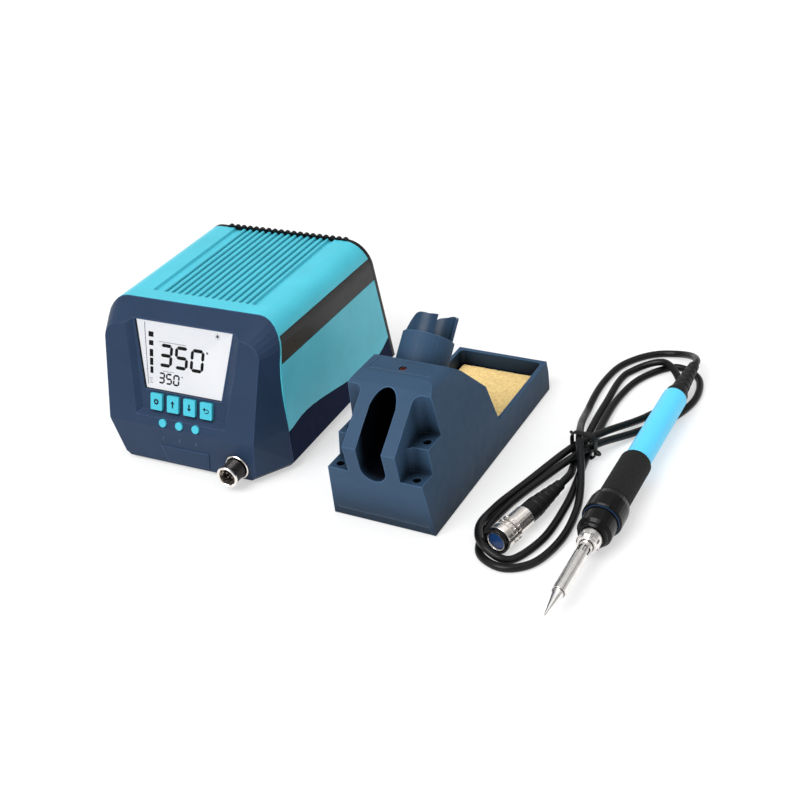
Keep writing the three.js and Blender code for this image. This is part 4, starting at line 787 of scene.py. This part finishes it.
# The two figures on the display: the lower left corner, the step from digit to digit, and the shape.
FIGURES = [
    {"x": -18.6, "y": -27.4, "step": 11.9, "width": 8.0, "height": 12.8, "thick": 2.2},
    {"x": -19.4, "y": -39.0, "step": 5.6, "width": 3.7, "height": 6.2, "thick": 1.15},
]
# The bars of the level scale: the height of the middle, the width and the height of each.
LEVEL_BARS = [(-8.6, 3.8, 3.3), (-14.2, 3.4, 3.2), (-20.6, 2.7, 4.7), (-26.2, 2.5, 4.7), (-31.6, 2.3, 4.3)]
LEVEL_X = -25.4
LEVEL_LEAN = 0.12
TICKS = {"x": -30.6, "y": -2.6, "lean": 0.07, "step": 2.4, "long": 1.0, "short": 0.55, "thick": 0.16,
         "count": 16, "long_each": 4}
# Small lines: the left end, the height, the width and the thickness.
SMALL_LINES = [
    (-19.2, -12.6, 20.4, 0.28), (-16.2, -31.4, 8.6, 0.24), (-26.8, -37.2, 2.6, 0.3),
    (-26.4, -38.6, 1.8, 0.3), (-26.2, -40.0, 2.2, 0.3),
]
# Round marks: the middle, the radius and the number of steps.
DEGREE_MARKS = [(17.2, -15.0, 0.75, 14), (-1.6, -33.2, 0.5, 14), (24.8, -3.4, 1.0, 12)]
SUN_RAYS = {"x": 24.8, "y": -3.4, "inner": 1.35, "outer": 2.0, "half": 0.13, "count": 8}


def make_display():
    flat = local_corners("display_window", panel)
    top = max(p.y for p in flat)
    low = min(p.y for p in flat)
    top_half = max(abs(p.x) for p in flat if p.y > top - 1)
    low_half = max(abs(p.x) for p in flat if p.y < low + 1)
    behind = -DISPLAY_FACE["behind"]
    front = behind + DISPLAY_FACE["thickness"]
    outline = [(-low_half, low), (low_half, low), (top_half, top), (-top_half, top)]
    build("display_face", prism(outline, behind, front), panel, "control_unit", "backlit")

    digits = []
    for i, figure in enumerate("350"):
        for k in FIGURES:
            left = k["x"] + i * k["step"]
            digits += segment_outlines(figure, left, k["y"], k["width"], k["height"], k["thick"])
    for i, (drop, width, height) in enumerate(LEVEL_BARS):
        digits.append(square(LEVEL_X - width / 2 + i * LEVEL_LEAN, drop - height / 2, width, height))
    flat_marks("display_digits", digits, front, front + MARK_HEIGHT, "segment", panel, "control_unit")

    marks = [[(-30.6, -1.4), (-30.2, -1.4), (-27.4, -41.0), (-27.8, -41.0)]]
    marks += [square(*line) for line in SMALL_LINES]
    for i in range(TICKS["count"]):
        width = TICKS["long"] if i % TICKS["long_each"] == 0 else TICKS["short"]
        left, drop = TICKS["x"] + TICKS["lean"] * i, TICKS["y"] - i * TICKS["step"]
        marks.append(square(left, drop, width, TICKS["thick"]))
    marks += [arc(x, y, radius, 0, 360, steps)[:-1] for x, y, radius, steps in DEGREE_MARKS]
    half = SUN_RAYS["half"]
    for i in range(SUN_RAYS["count"]):
        angle = 2 * math.pi * i / SUN_RAYS["count"]
        ux, uy = math.cos(angle), math.sin(angle)
        marks.append([
            (SUN_RAYS["x"] + ux * out - uy * side, SUN_RAYS["y"] + uy * out + ux * side)
            for out, side in ((SUN_RAYS["inner"], half), (SUN_RAYS["inner"], -half),
                              (SUN_RAYS["outer"], -half), (SUN_RAYS["outer"], half))
        ])
    flat_marks("display_marks", marks, front, front + FAINT_HEIGHT, "faint", panel, "control_unit")


def gear_mark(inner, outer, low, high, teeth, steps=64):
    """Points and faces of a flat ring with square teeth round it."""
    points = []
    for i in range(steps):
        angle = 2 * math.pi * i / steps
        rim = outer * (1.25 if i * teeth * 2 // steps % 2 == 0 else 1)
        for radius, level in ((inner, low), (rim, low), (rim, high), (inner, high)):
            points.append((radius * math.cos(angle), radius * math.sin(angle), level))
    return points, ring_faces(steps, 4)


KEY_SIGNS = {
    "key_up": [[(-0.5, -2.3), (0.5, -2.3), (0.5, 0.5), (1.6, 0.5), (0, 2.4), (-1.6, 0.5), (-0.5, 0.5)]],
    "key_down": [[(0.5, 2.3), (-0.5, 2.3), (-0.5, -0.5), (-1.6, -0.5), (0, -2.4), (1.6, -0.5), (0.5, -0.5)]],
    "key_enter": [
        [(-2.3, 0.9), (-0.7, 2.3), (-0.7, 1.25), (0.9, 1.25)] + arc(0.9, -0.15, 1.4, 90, -90, 8)
        + [(-0.6, -1.55), (-0.6, -0.95)] + arc(0.9, -0.15, 0.8, -90, 90, 8) + [(-0.7, 0.65), (-0.7, -0.5)],
    ],
}


def cap_frame(node):
    """A frame on the face of a key: x to the right, y up the slope, z outwards."""
    corners = [v.co for v in frame["nodes"][node].data.vertices]
    front = max(c.dot(panel_normal) for c in corners)
    face = [c for c in corners if c.dot(panel_normal) > front - 1e-5]
    x = (min(c.x for c in face) + max(c.x for c in face)) / 2
    up = (min(c.dot(panel_up) for c in face) + max(c.dot(panel_up) for c in face)) / 2
    return frame_at(RIGHT * x + panel_up * up + panel_normal * front, RIGHT, panel_up, panel_normal)


def make_key_signs():
    for node, outlines in KEY_SIGNS.items():
        flat_marks(f"{node}_sign", outlines, 0, MARK_HEIGHT, "print", cap_frame(node), node)
    gear = gear_mark(0.75, 1.65, 0, MARK_HEIGHT, 8)
    build("key_settings_sign", gear, cap_frame("key_settings"), "key_settings", "print")


NUMBER = {"size": 2.6, "depth": 0.05, "below_key": 9.9, "lift": 0.02}


def make_number_labels():
    """Plain numbers under the three preset keys."""
    face = reach("front_moulding", panel_normal)[1]
    for i in range(3):
        place = cap_frame(f"preset_key_{i + 1}")
        data = bpy.data.curves.new(f"preset_number_{i + 1}", "FONT")
        data.body = str(i + 1)
        data.size = NUMBER["size"]
        data.extrude = NUMBER["depth"]
        data.align_x = "CENTER"
        data.align_y = "CENTER"
        data.materials.append(LOOK["label"])
        label = put(data.name, data)
        drop = (place.translation.dot(panel_normal) - face) / MM
        label.matrix_world = place @ Matrix.Translation((0, -NUMBER["below_key"], -drop + NUMBER["lift"]))
        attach(label, "control_unit")


make_display()
make_key_signs()

# ------------------------------------------------------------------ metal and small pieces


def thread(radius, depth, start, end, pitch):
    """Points of a row of round-topped rings that stand for a thread, from start to end."""
    points = []
    count = round((end - start) / pitch)
    for i in range(count):
        at = start + (end - start) * i / count
        points += [(radius - depth, at), (radius, at + 0.3 * pitch), (radius, at + 0.55 * pitch),
                   (radius - depth, at + 0.9 * pitch)]
    return points


# The panel socket: radii, and places along it from its mouth.
SOCKET_RADII = {"mouth": 5.6, "rim": 7.2, "barrel": 6.7, "flange": 8.3, "neck": 5, "bore": 4.2}
SOCKET = {"rim_end": 1.6, "flange_thickness": 1.6, "flange_rear": 13, "mouth_depth": 9.5}
SOCKET_PIN = {"count": 5, "radius": 0.66, "circle": 2.4, "tip": 2.5, "base": 6.1, "core": 0.02}


def make_socket():
    """The panel socket: a bright rim and flange on a dark threaded barrel, and five pins in its mouth."""
    low, high = reach("socket_shell", BACK)
    centre = middle("socket_shell")
    place = frame_at(Vector((centre.x, low, centre.z)), RIGHT, BACK, UP)
    depth = (high - low) / MM
    mouth, rim, barrel, flange, neck, bore = SOCKET_RADII.values()
    rim_end, rear, mouth_depth = SOCKET["rim_end"], SOCKET["flange_rear"], SOCKET["mouth_depth"]
    front = rear - SOCKET["flange_thickness"]
    profile = [
        (mouth, 0.5), (mouth + 0.35, 0.1), (rim - 0.35, 0), (rim, 0.35), (rim, rim_end - 0.3),
        (rim - 0.3, rim_end), (barrel - 0.5, rim_end), (barrel - 0.5, front), (flange - 0.5, front),
        (flange, front + 0.5), (flange, rear), (neck, rear), (neck, depth),
        (bore, depth), (bore, mouth_depth), (mouth, mouth_depth),
    ]
    shell = build("socket_shell_turned", turned(profile, 72), place, "control_unit", "nickel", 30)
    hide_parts("socket_shell")

    start = rim_end + 0.1
    rings = thread(barrel, 0.35, start, front - 0.2, 0.95)
    rings += [(barrel - 0.45, front - 0.05), (flange - 0.75, front - 0.05), (flange - 0.75, front + 0.1),
              (barrel - 0.6, front + 0.1), (barrel - 0.6, start)]
    build("socket_thread", turned(rings, 72), place, "control_unit", "dark_nickel", 50)

    pins = []
    radius, tip, base, core = (SOCKET_PIN[key] for key in ("radius", "tip", "base", "core"))
    for i in range(SOCKET_PIN["count"]):
        angle = math.radians(90 + 360 / SOCKET_PIN["count"] * i)
        x, z = SOCKET_PIN["circle"] * math.cos(angle), SOCKET_PIN["circle"] * math.sin(angle)
        points, faces = turned([(core, tip), (radius - 0.2, tip), (radius, tip + 0.4), (radius, base),
                                (core, base)], 16)
        pins.append(([(px + x, py, pz + z) for px, py, pz in points], faces))
    build("socket_pins", gathered(pins), place, "control_unit", "nickel", 40)


def make_iron_nut():
    """The iron's nut: a neck, then a ring with notches round its front edge."""
    start, length = span_on_iron("iron_nut")
    profile = [
        (4.3, 0), (5.5, 0), (5.9, 0.3), (5.9, 1.1), (6.2, 1.3), (6.6, 1.8), (6.6, 2.2), (6.6, 4.4),
        (6.6, 4.8), (6.6, length - 0.4), (6.3, length), (5.6, length), (5.6, 2.5), (4.3, 2.5),
    ]

    def notches(angle, along):
        notched = 1.15 < along < 4.6 and abs(math.degrees(angle) % 45 - 22) < 6
        return 0.87 if notched else 1

    parts = turned([(r, a + start) for r, a in profile], 144,
                   lambda angle, along: notches(angle, along - start))
    nut = build("iron_nut_notched", parts, iron, "iron_nut", "steel", 32)
    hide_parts("iron_nut")


PLUG = {"ring": 8, "bore": 7.4, "black": 3.4, "teeth": 18}


def make_plug_ring():
    """The plug's coupling ring: a black front ring, a smooth band, and two bands of square teeth."""
    low, high = reach("plug_ring", plug_axis)
    length = (high - low) / MM
    outer, bore, black = PLUG["ring"], PLUG["bore"], PLUG["black"]
    profile = [
        (bore, black), (outer - 0.35, black), (outer - 0.1, black + 0.25), (outer - 0.1, 7.4),
        (outer - 0.5, 7.7), (outer - 0.5, 8.2), (outer, 8.4), (outer, 8.6), (outer, 11.2),
        (outer, 11.4), (outer - 0.6, 11.6), (outer - 0.6, 12.3), (outer, 12.5), (outer, 12.7),
        (outer, length - 0.5), (outer, length - 0.3), (outer - 0.3, length), (bore, length),
    ]

    def teeth(angle, along):
        banded = 8.5 < along < 11.3 or 12.6 < along < length - 0.4
        return 1 - (0.055 if banded and math.degrees(angle) * PLUG["teeth"] / 360 % 1 < 0.4 else 0)

    ring = build("plug_ring_toothed", turned(profile, 180, teeth), plug, "plug_ring", "nickel", 32)
    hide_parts("plug_ring")
    front = turned([(6.15, 0.5), (6.5, 0.1), (7.2, 0), (outer - 0.35, 0.15), (outer, 0.6),
                    (outer, black - 0.35), (outer - 0.3, black - 0.05), (6.15, black - 0.05)], 72)
    build("plug_front_ring", front, plug, "plug_ring", "gloss_black", 50)
    rim = turned([(5.4, 0.9), (5.6, 0.6), (5.85, 0.6), (6.05, 0.9), (6.05, 3), (5.4, 3)], 72)
    build("plug_bright_rim", rim, plug, "iron", "nickel", 40)


def make_nose_ring():
    """The thin blue ring in the groove between the iron's cap and its flange."""
    rear = (reach("iron_nose", iron_axis)[1] - iron_zero.dot(iron_axis)) / MM
    start, end = rear - 18.75, rear - 17.65
    profile = [(10.5, start), (10.95, start + 0.15), (10.95, end - 0.15), (10.5, end)]
    build("nose_blue_ring", turned(profile, 72), iron, "iron", "ring", 40)


DECK_SCREW = {"x": 0.8, "y": 39, "sunk": 0.9, "rim": 2.35, "top": 1.7, "steps": 32}
DECK_SCREW_LEVELS = {"foot": -0.8, "shoulder": 0.1, "face": 0.55, "cross": -0.3}


def make_deck_screw():
    """The small browned screw in the deck plate."""
    plate_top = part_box("deck_plate")[1].z
    centre = stand @ Vector((DECK_SCREW["x"], DECK_SCREW["y"], 0))
    place = frame_at(centre + UP * (plate_top - DECK_SCREW["sunk"] * MM), stand_right, stand_back, UP)
    steps = DECK_SCREW["steps"]
    rim, top = (arc(0, 0, DECK_SCREW[key], 0, 360, steps)[:-1] for key in ("rim", "top"))
    foot, shoulder, face_level, deepest = DECK_SCREW_LEVELS.values()
    points = [(x, y, z) for circle, z in ((rim, foot), (rim, shoulder), (top, face_level)) for x, y in circle]
    faces = [list(range(steps))[::-1]]
    for k in (0, steps):
        for i in range(steps):
            j = (i + 1) % steps
            faces.append([k + i, k + j, k + steps + j, k + steps + i])
    cross = [
        (0.3, 1.2), (-0.3, 1.2), (-0.3, 0.3), (-1.2, 0.3), (-1.2, -0.3), (-0.3, -0.3),
        (-0.3, -1.2), (0.3, -1.2), (0.3, -0.3), (1.2, -0.3), (1.2, 0.3), (0.3, 0.3),
    ]
    mesh = bpy.data.meshes.new("deck_screw")
    made = bmesh.new()
    verts = [made.verts.new(place @ Vector(p)) for p in points]
    for face in faces:
        made.faces.new([verts[i] for i in face])
    high = [made.verts.new(place @ Vector((x, y, face_level))) for x, y in cross]
    deep = [made.verts.new(place @ Vector((x * 0.8, y * 0.8, deepest))) for x, y in cross]
    for i in range(len(cross)):
        made.faces.new([high[i], high[(i + 1) % len(cross)], deep[(i + 1) % len(cross)], deep[i]])
    made.faces.new(deep)
    edges = []
    for loop in (verts[2 * steps:], high):
        edges += [made.edges.get((loop[i], loop[(i + 1) % len(loop)])) for i in range(len(loop))]
    bmesh.ops.triangle_fill(made, edges=edges, use_beauty=True)
    bmesh.ops.recalc_face_normals(made, faces=made.faces)
    made.to_mesh(mesh)
    made.free()
    add("deck_screw", mesh, "stand", "brown")


# The holder's sleeve in the stand's frame. Its sheet runs round its axis from the angle open_to to the
# angle open_from, in degrees from its right side.
HOLDER = {"x": -3.6, "y": 67.4, "z": 69.4, "tilt": 45, "outer": 14.58, "wall": 1.6, "low": -20,
          "open_from": 304, "open_to": 20, "far_rise": 6.4, "wave": 0.45}
# Height of the sleeve's rim over its width, along the holder's axis.
HOLDER_RIM = [
    (-14.7, 19.0), (-11, 20.5), (-8, 25.5), (-5.5, 28.8), (-3, 29.6), (3, 29.4), (10, 31.2), (14.7, 33.3),
]


def rim_height(x):
    for (x0, z0), (x1, z1) in zip(HOLDER_RIM, HOLDER_RIM[1:]):
        if x <= x1:
            return z0 + (z1 - z0) * max(0, (x - x0) / (x1 - x0))
    return HOLDER_RIM[-1][1]


def make_sleeve():
    """The holder's sleeve: a sheet bent round, open along its right front, with a wavy rim."""
    tilt = math.radians(HOLDER["tilt"])
    axis = (stand_back * math.sin(tilt) + UP * math.cos(tilt)).normalized()
    side = axis.cross(stand_right)
    place = frame_at(stand @ Vector((HOLDER["x"], HOLDER["y"], HOLDER["z"])), stand_right, side, axis)
    steps, rows = 120, 10
    outer, wall = HOLDER["outer"], HOLDER["wall"]
    points = []
    for i in range(steps):
        turn = (HOLDER["open_from"] - HOLDER["open_to"]) * i / (steps - 1)
        angle = math.radians(HOLDER["open_to"] + turn)
        far_side = HOLDER["far_rise"] * max(0, math.sin(math.radians(min(180, 1.6 * turn))))
        top = rim_height(outer * math.cos(angle)) + far_side + HOLDER["wave"] * math.sin(3 * angle)
        heights = [HOLDER["low"] + (top - HOLDER["low"]) * k / rows for k in range(rows + 1)]
        ring = [(outer, z) for z in heights] + [(outer - wall, z) for z in reversed(heights)]
        points += [(r * math.cos(angle), r * math.sin(angle), z) for r, z in ring]
    size = 2 * (rows + 1)
    faces = ring_faces(steps, size, closed=False)
    for end in (0, (steps - 1) * size):
        faces += [[end + k, end + k + 1, end + size - 2 - k, end + size - 1 - k] for k in range(rows)]
    sleeve = build("holder_sleeve_rolled", (points, faces), place, "stand", "sleeve", 40)
    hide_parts("holder_sleeve")


# The strip under the stand's front wall: how much narrower it is than the wall on each side, how far it
# leans forward for each millimetre up, its height and thickness, and how far it lies behind the wall.
SKIRT = {"inset": 1.2, "lean": 4.9 / 38, "height": 9, "wall": 1.6, "behind": 0.06}


def make_stand_skirt():
    """The lowest strip of the stand's front wall, which closes the wall down to its lower edge."""
    flat = local_corners("stand_body", stand)
    foot = min(p.z for p in flat)
    toe = min(p.y for p in flat if p.z < foot + 0.1)
    half = max(p.x for p in flat if p.z < foot + 0.1 and p.y < toe + 1) - SKIRT["inset"]
    lean, height = SKIRT["lean"], SKIRT["height"]
    front = [(toe + SKIRT["behind"] - lean * z, foot + z) for z in (0, height)]
    back = [(toe + SKIRT["wall"] - lean * z, foot + z) for z in (height, 0)]
    points = [(x, y, z) for x in (-half, half) for y, z in front + back]
    faces = [[3, 2, 1, 0], [4, 5, 6, 7]] + [[k, (k + 1) % 4, (k + 1) % 4 + 4, k + 4] for k in range(4)]
    build("stand_front_skirt", (points, faces), stand, "stand", "slate")


make_sleeve()
make_stand_skirt()
make_socket()
make_iron_nut()
make_plug_ring()
make_nose_ring()
make_deck_screw()

# ------------------------------------------------------------------ soft pieces


def make_sponge():
    """The cellulose sponge: a soft-edged pad with pores and a slightly uneven top."""
    low, high = reach("sponge", UP)
    flat = local_corners("sponge", stand)
    half = max(p.x for p in flat)
    front, back = min(p.y for p in flat), max(p.y for p in flat)
    bottom, top = low / MM, high / MM
    columns, rows, layers = 76, 92, 8
    corner = 3.0

    def placed(u, v, w):
        """A point of the rounded block from three shares from 0 to 1."""
        x, y, z = (2 * u - 1) * half, front + v * (back - front), bottom + w * (top - bottom)
        edge_x, edge_y = half - abs(x), min(y - front, back - y)
        if edge_x < corner and edge_y < corner:
            away = Vector((corner - edge_x, corner - edge_y))
            if away.length > corner:
                pull = away * (1 - corner / away.length)
                x -= math.copysign(pull.x, x)
                y += pull.y if y < (front + back) / 2 else -pull.y
        return Vector((x, y, z))

    surface = bmesh.new()
    grid = {}

    def corner_vert(i, j, k):
        key = (i, j, k)
        if key not in grid:
            point = placed(i / columns, j / rows, k / layers)
            rim = min(min(i, columns - i), min(j, rows - j))
            rough = noise.fractal(point * 0.55, 0.9, 2.2, 4)
            pore = noise.cell(point * 0.75)
            drop = 0.0
            if k == layers:
                drop = 0.28 + 0.22 * rough + (0.45 if pore > 0.86 else 0)
                drop += 0.5 if rim == 0 else (0.15 if rim == 1 else 0)
            if rim == 0 and 0 < k:
                inward = 0.18 + 0.12 * rough
                centre = Vector((0, (front + back) / 2, point.z))
                point += (centre - point).normalized() * inward
            sunk = Vector((0, 0, max(0.05, drop) if k == layers else 0))
            grid[key] = surface.verts.new(stand @ (point - sunk))
        return grid[key]

    def patch(count_a, count_b, at):
        for a in range(count_a):
            for b in range(count_b):
                surface.faces.new([at(a, b), at(a + 1, b), at(a + 1, b + 1), at(a, b + 1)])

    for k in (layers, 0):
        patch(columns, rows, lambda a, b: corner_vert(a, b, k))
    for j in (0, rows):
        patch(columns, layers, lambda a, b: corner_vert(a, j, b))
    for i in (0, columns):
        patch(rows, layers, lambda a, b: corner_vert(i, a, b))
    bmesh.ops.recalc_face_normals(surface, faces=surface.faces)
    for face in surface.faces:
        face.smooth = True
    mesh = bpy.data.meshes.new("sponge_pad")
    surface.to_mesh(mesh)
    surface.free()
    piece = add("sponge_pad", mesh, "sponge", "sponge")
    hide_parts("sponge")


def make_foam_grip():
    """The foam sleeve, with soft ends and a rough skin of open cells."""
    start, length = span_on_iron("foam_grip")
    outer, bore, edge = 9.75, 7.4, 1.6
    steps = 56
    bend = [math.radians(90 * i / 5) for i in range(6)]
    profile = [(bore, 0.4)]
    profile += [(outer - edge + edge * math.sin(t), edge - edge * math.cos(t)) for t in bend]
    profile += [(outer, edge + (length - 2 * edge) * i / steps) for i in range(1, steps)]
    profile += [(outer - edge + edge * math.cos(t), length - edge + edge * math.sin(t)) for t in bend]
    profile += [(bore, length - 0.4)]
    points, faces = turned([(r, a + start) for r, a in profile], 110)
    rough = []
    for x, y, z in points:
        point = Vector((x, y, z))
        out = Vector((x, 0, z))
        lift = noise.fractal(point * 1.1, 0.8, 2.1, 4) * 0.16 - 0.14
        if out.length < bore + 0.2:
            lift = 0
        rough.append(point + out.normalized() * lift)
    grip = build("foam_grip_sleeve", (rough, faces), iron, "iron", "foam", 60)
    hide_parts("foam_grip")


make_sponge()
make_foam_grip()

# ------------------------------------------------------------------ the CAD nodes' finish

FINISH = {
    "top_cover": ("teal", 0.0),
    "side_strip_right": ("strip", 0.15),
    "side_strip_left": ("strip", 0.15),
    "base_tray": ("deep_navy", 0.3),
    "front_moulding": ("navy", 0.5),
    "display_window": ("window", 0.1),
    "display_module": ("backlit", 0.0),
    "control_board": ("board", 0.0),
    "supply_board": ("board", 0.0),
    "socket_insert": ("black", 0.1),
    "socket_nut": ("nickel", 0.2),
    "rear_panel": ("black", 0.2),
    "power_inlet": ("black", 0.3),
    "fuse_drawer": ("black", 0.2),
    "rocker_frame": ("black", 0.25),
    "rocker": ("gloss_black", 0.3),
    "transformer_core": ("core", 0.3),
    "transformer_coil": ("winding", 0.4),
    "stand_body": ("slate", 0.0),
    "deck_plate": ("slate", 0.2),
    "iron_tip": ("steel", 0.1),
    "iron_barrel": ("steel", 0.1),
    "heater": ("ceramic", 0.1),
    "iron_nose": ("gloss_black", None),
    "handle": ("sky", None),
    "cord_boot": ("rubber", 0.15),
    "plug_shell": ("nickel", 0.2),
    "plug_insert": ("blue", 0.2),
    "plug_boot": ("rubber", 0.15),
}
KEY_BEVEL = 0.35
FOOT_BEVEL = 0.4


def finish_node(node, look, bevel):
    piece = frame["nodes"][node]
    piece.data.materials.clear()
    piece.data.materials.append(LOOK[look])
    soften(piece, bevel)


def finish_nodes():
    for node in frame["nodes"]:
        if frame["nodes"][node].hide_render:
            continue
        if node in FINISH:
            finish_node(node, *FINISH[node])
        elif "key" in node:
            finish_node(node, "key", KEY_BEVEL)
        elif node.startswith(("foot_", "stand_pad")):
            finish_node(node, "rubber", FOOT_BEVEL)


finish_nodes()
make_number_labels()

# ------------------------------------------------------------------ floor and light


FLOOR_REACH = 8.0
FLOOR_DROP = 0.0001


def make_floor():
    mesh = bpy.data.meshes.new("floor")
    corners = [(-1, -1), (1, -1), (1, 1), (-1, 1)]
    mesh.from_pydata([(x * FLOOR_REACH, y * FLOOR_REACH, 0) for x, y in corners], [], [(0, 1, 2, 3)])
    surface = Surface("pale_floor", (186, 186, 186), 0.9, Specular_IOR_Level=0.1, Emission_Strength=0.5,
                      Emission_Color=grey(1))
    mesh.materials.append(surface.material)
    floor = put("floor", mesh)
    floor.location.z = -FLOOR_DROP


def add_sun(name, towards, width, power):
    """A wide far lamp that shines along a direction. Its width in degrees softens its shadows."""
    data = bpy.data.lights.new(name, "SUN")
    data.angle = math.radians(width)
    data.energy = power
    light = put(name, data)
    light.location = -Vector(towards)
    light.rotation_mode = "QUATERNION"
    light.rotation_quaternion = Vector(towards).to_track_quat("-Z", "Y")


def make_world():
    """White low down and grey overhead, and darker towards the right."""
    world = bpy.data.worlds.new("soft_white")
    world.use_nodes = True
    nodes, link = world.node_tree.nodes, world.node_tree.links.new
    background = nodes["Background"]
    background.inputs["Strength"].default_value = 1.0
    split = nodes.new("ShaderNodeSeparateXYZ")
    height = nodes.new("ShaderNodeValToRGB")
    for stop, position, value in zip(height.color_ramp.elements, (0.02, 0.35), (1, 0.45)):
        stop.position = position
        stop.color = grey(value)
    side = nodes.new("ShaderNodeMapRange")
    for socket, value in {"From Min": 0, "From Max": 0.9, "To Min": 1, "To Max": 0.55}.items():
        side.inputs[socket].default_value = value
    both = nodes.new("ShaderNodeVectorMath")
    both.operation = "SCALE"
    link(nodes.new("ShaderNodeTexCoord").outputs["Generated"], split.inputs["Vector"])
    link(split.outputs["Z"], height.inputs["Fac"])
    link(split.outputs["X"], side.inputs["Value"])
    link(height.outputs["Color"], both.inputs[0])
    link(side.outputs["Result"], both.inputs["Scale"])
    link(both.outputs["Vector"], background.inputs["Color"])
    bpy.context.scene.world = world


def make_light():
    make_world()
    add_sun("key", (0.25, 0.62, -0.75), 40, 2.4)
    add_sun("top", (-0.1, -0.2, -1), 70, 0.7)
    add_sun("right", (-0.85, 0.2, -0.6), 60, 0.45)
    bpy.context.scene.view_settings.view_transform = "Standard"


make_floor()
make_light()
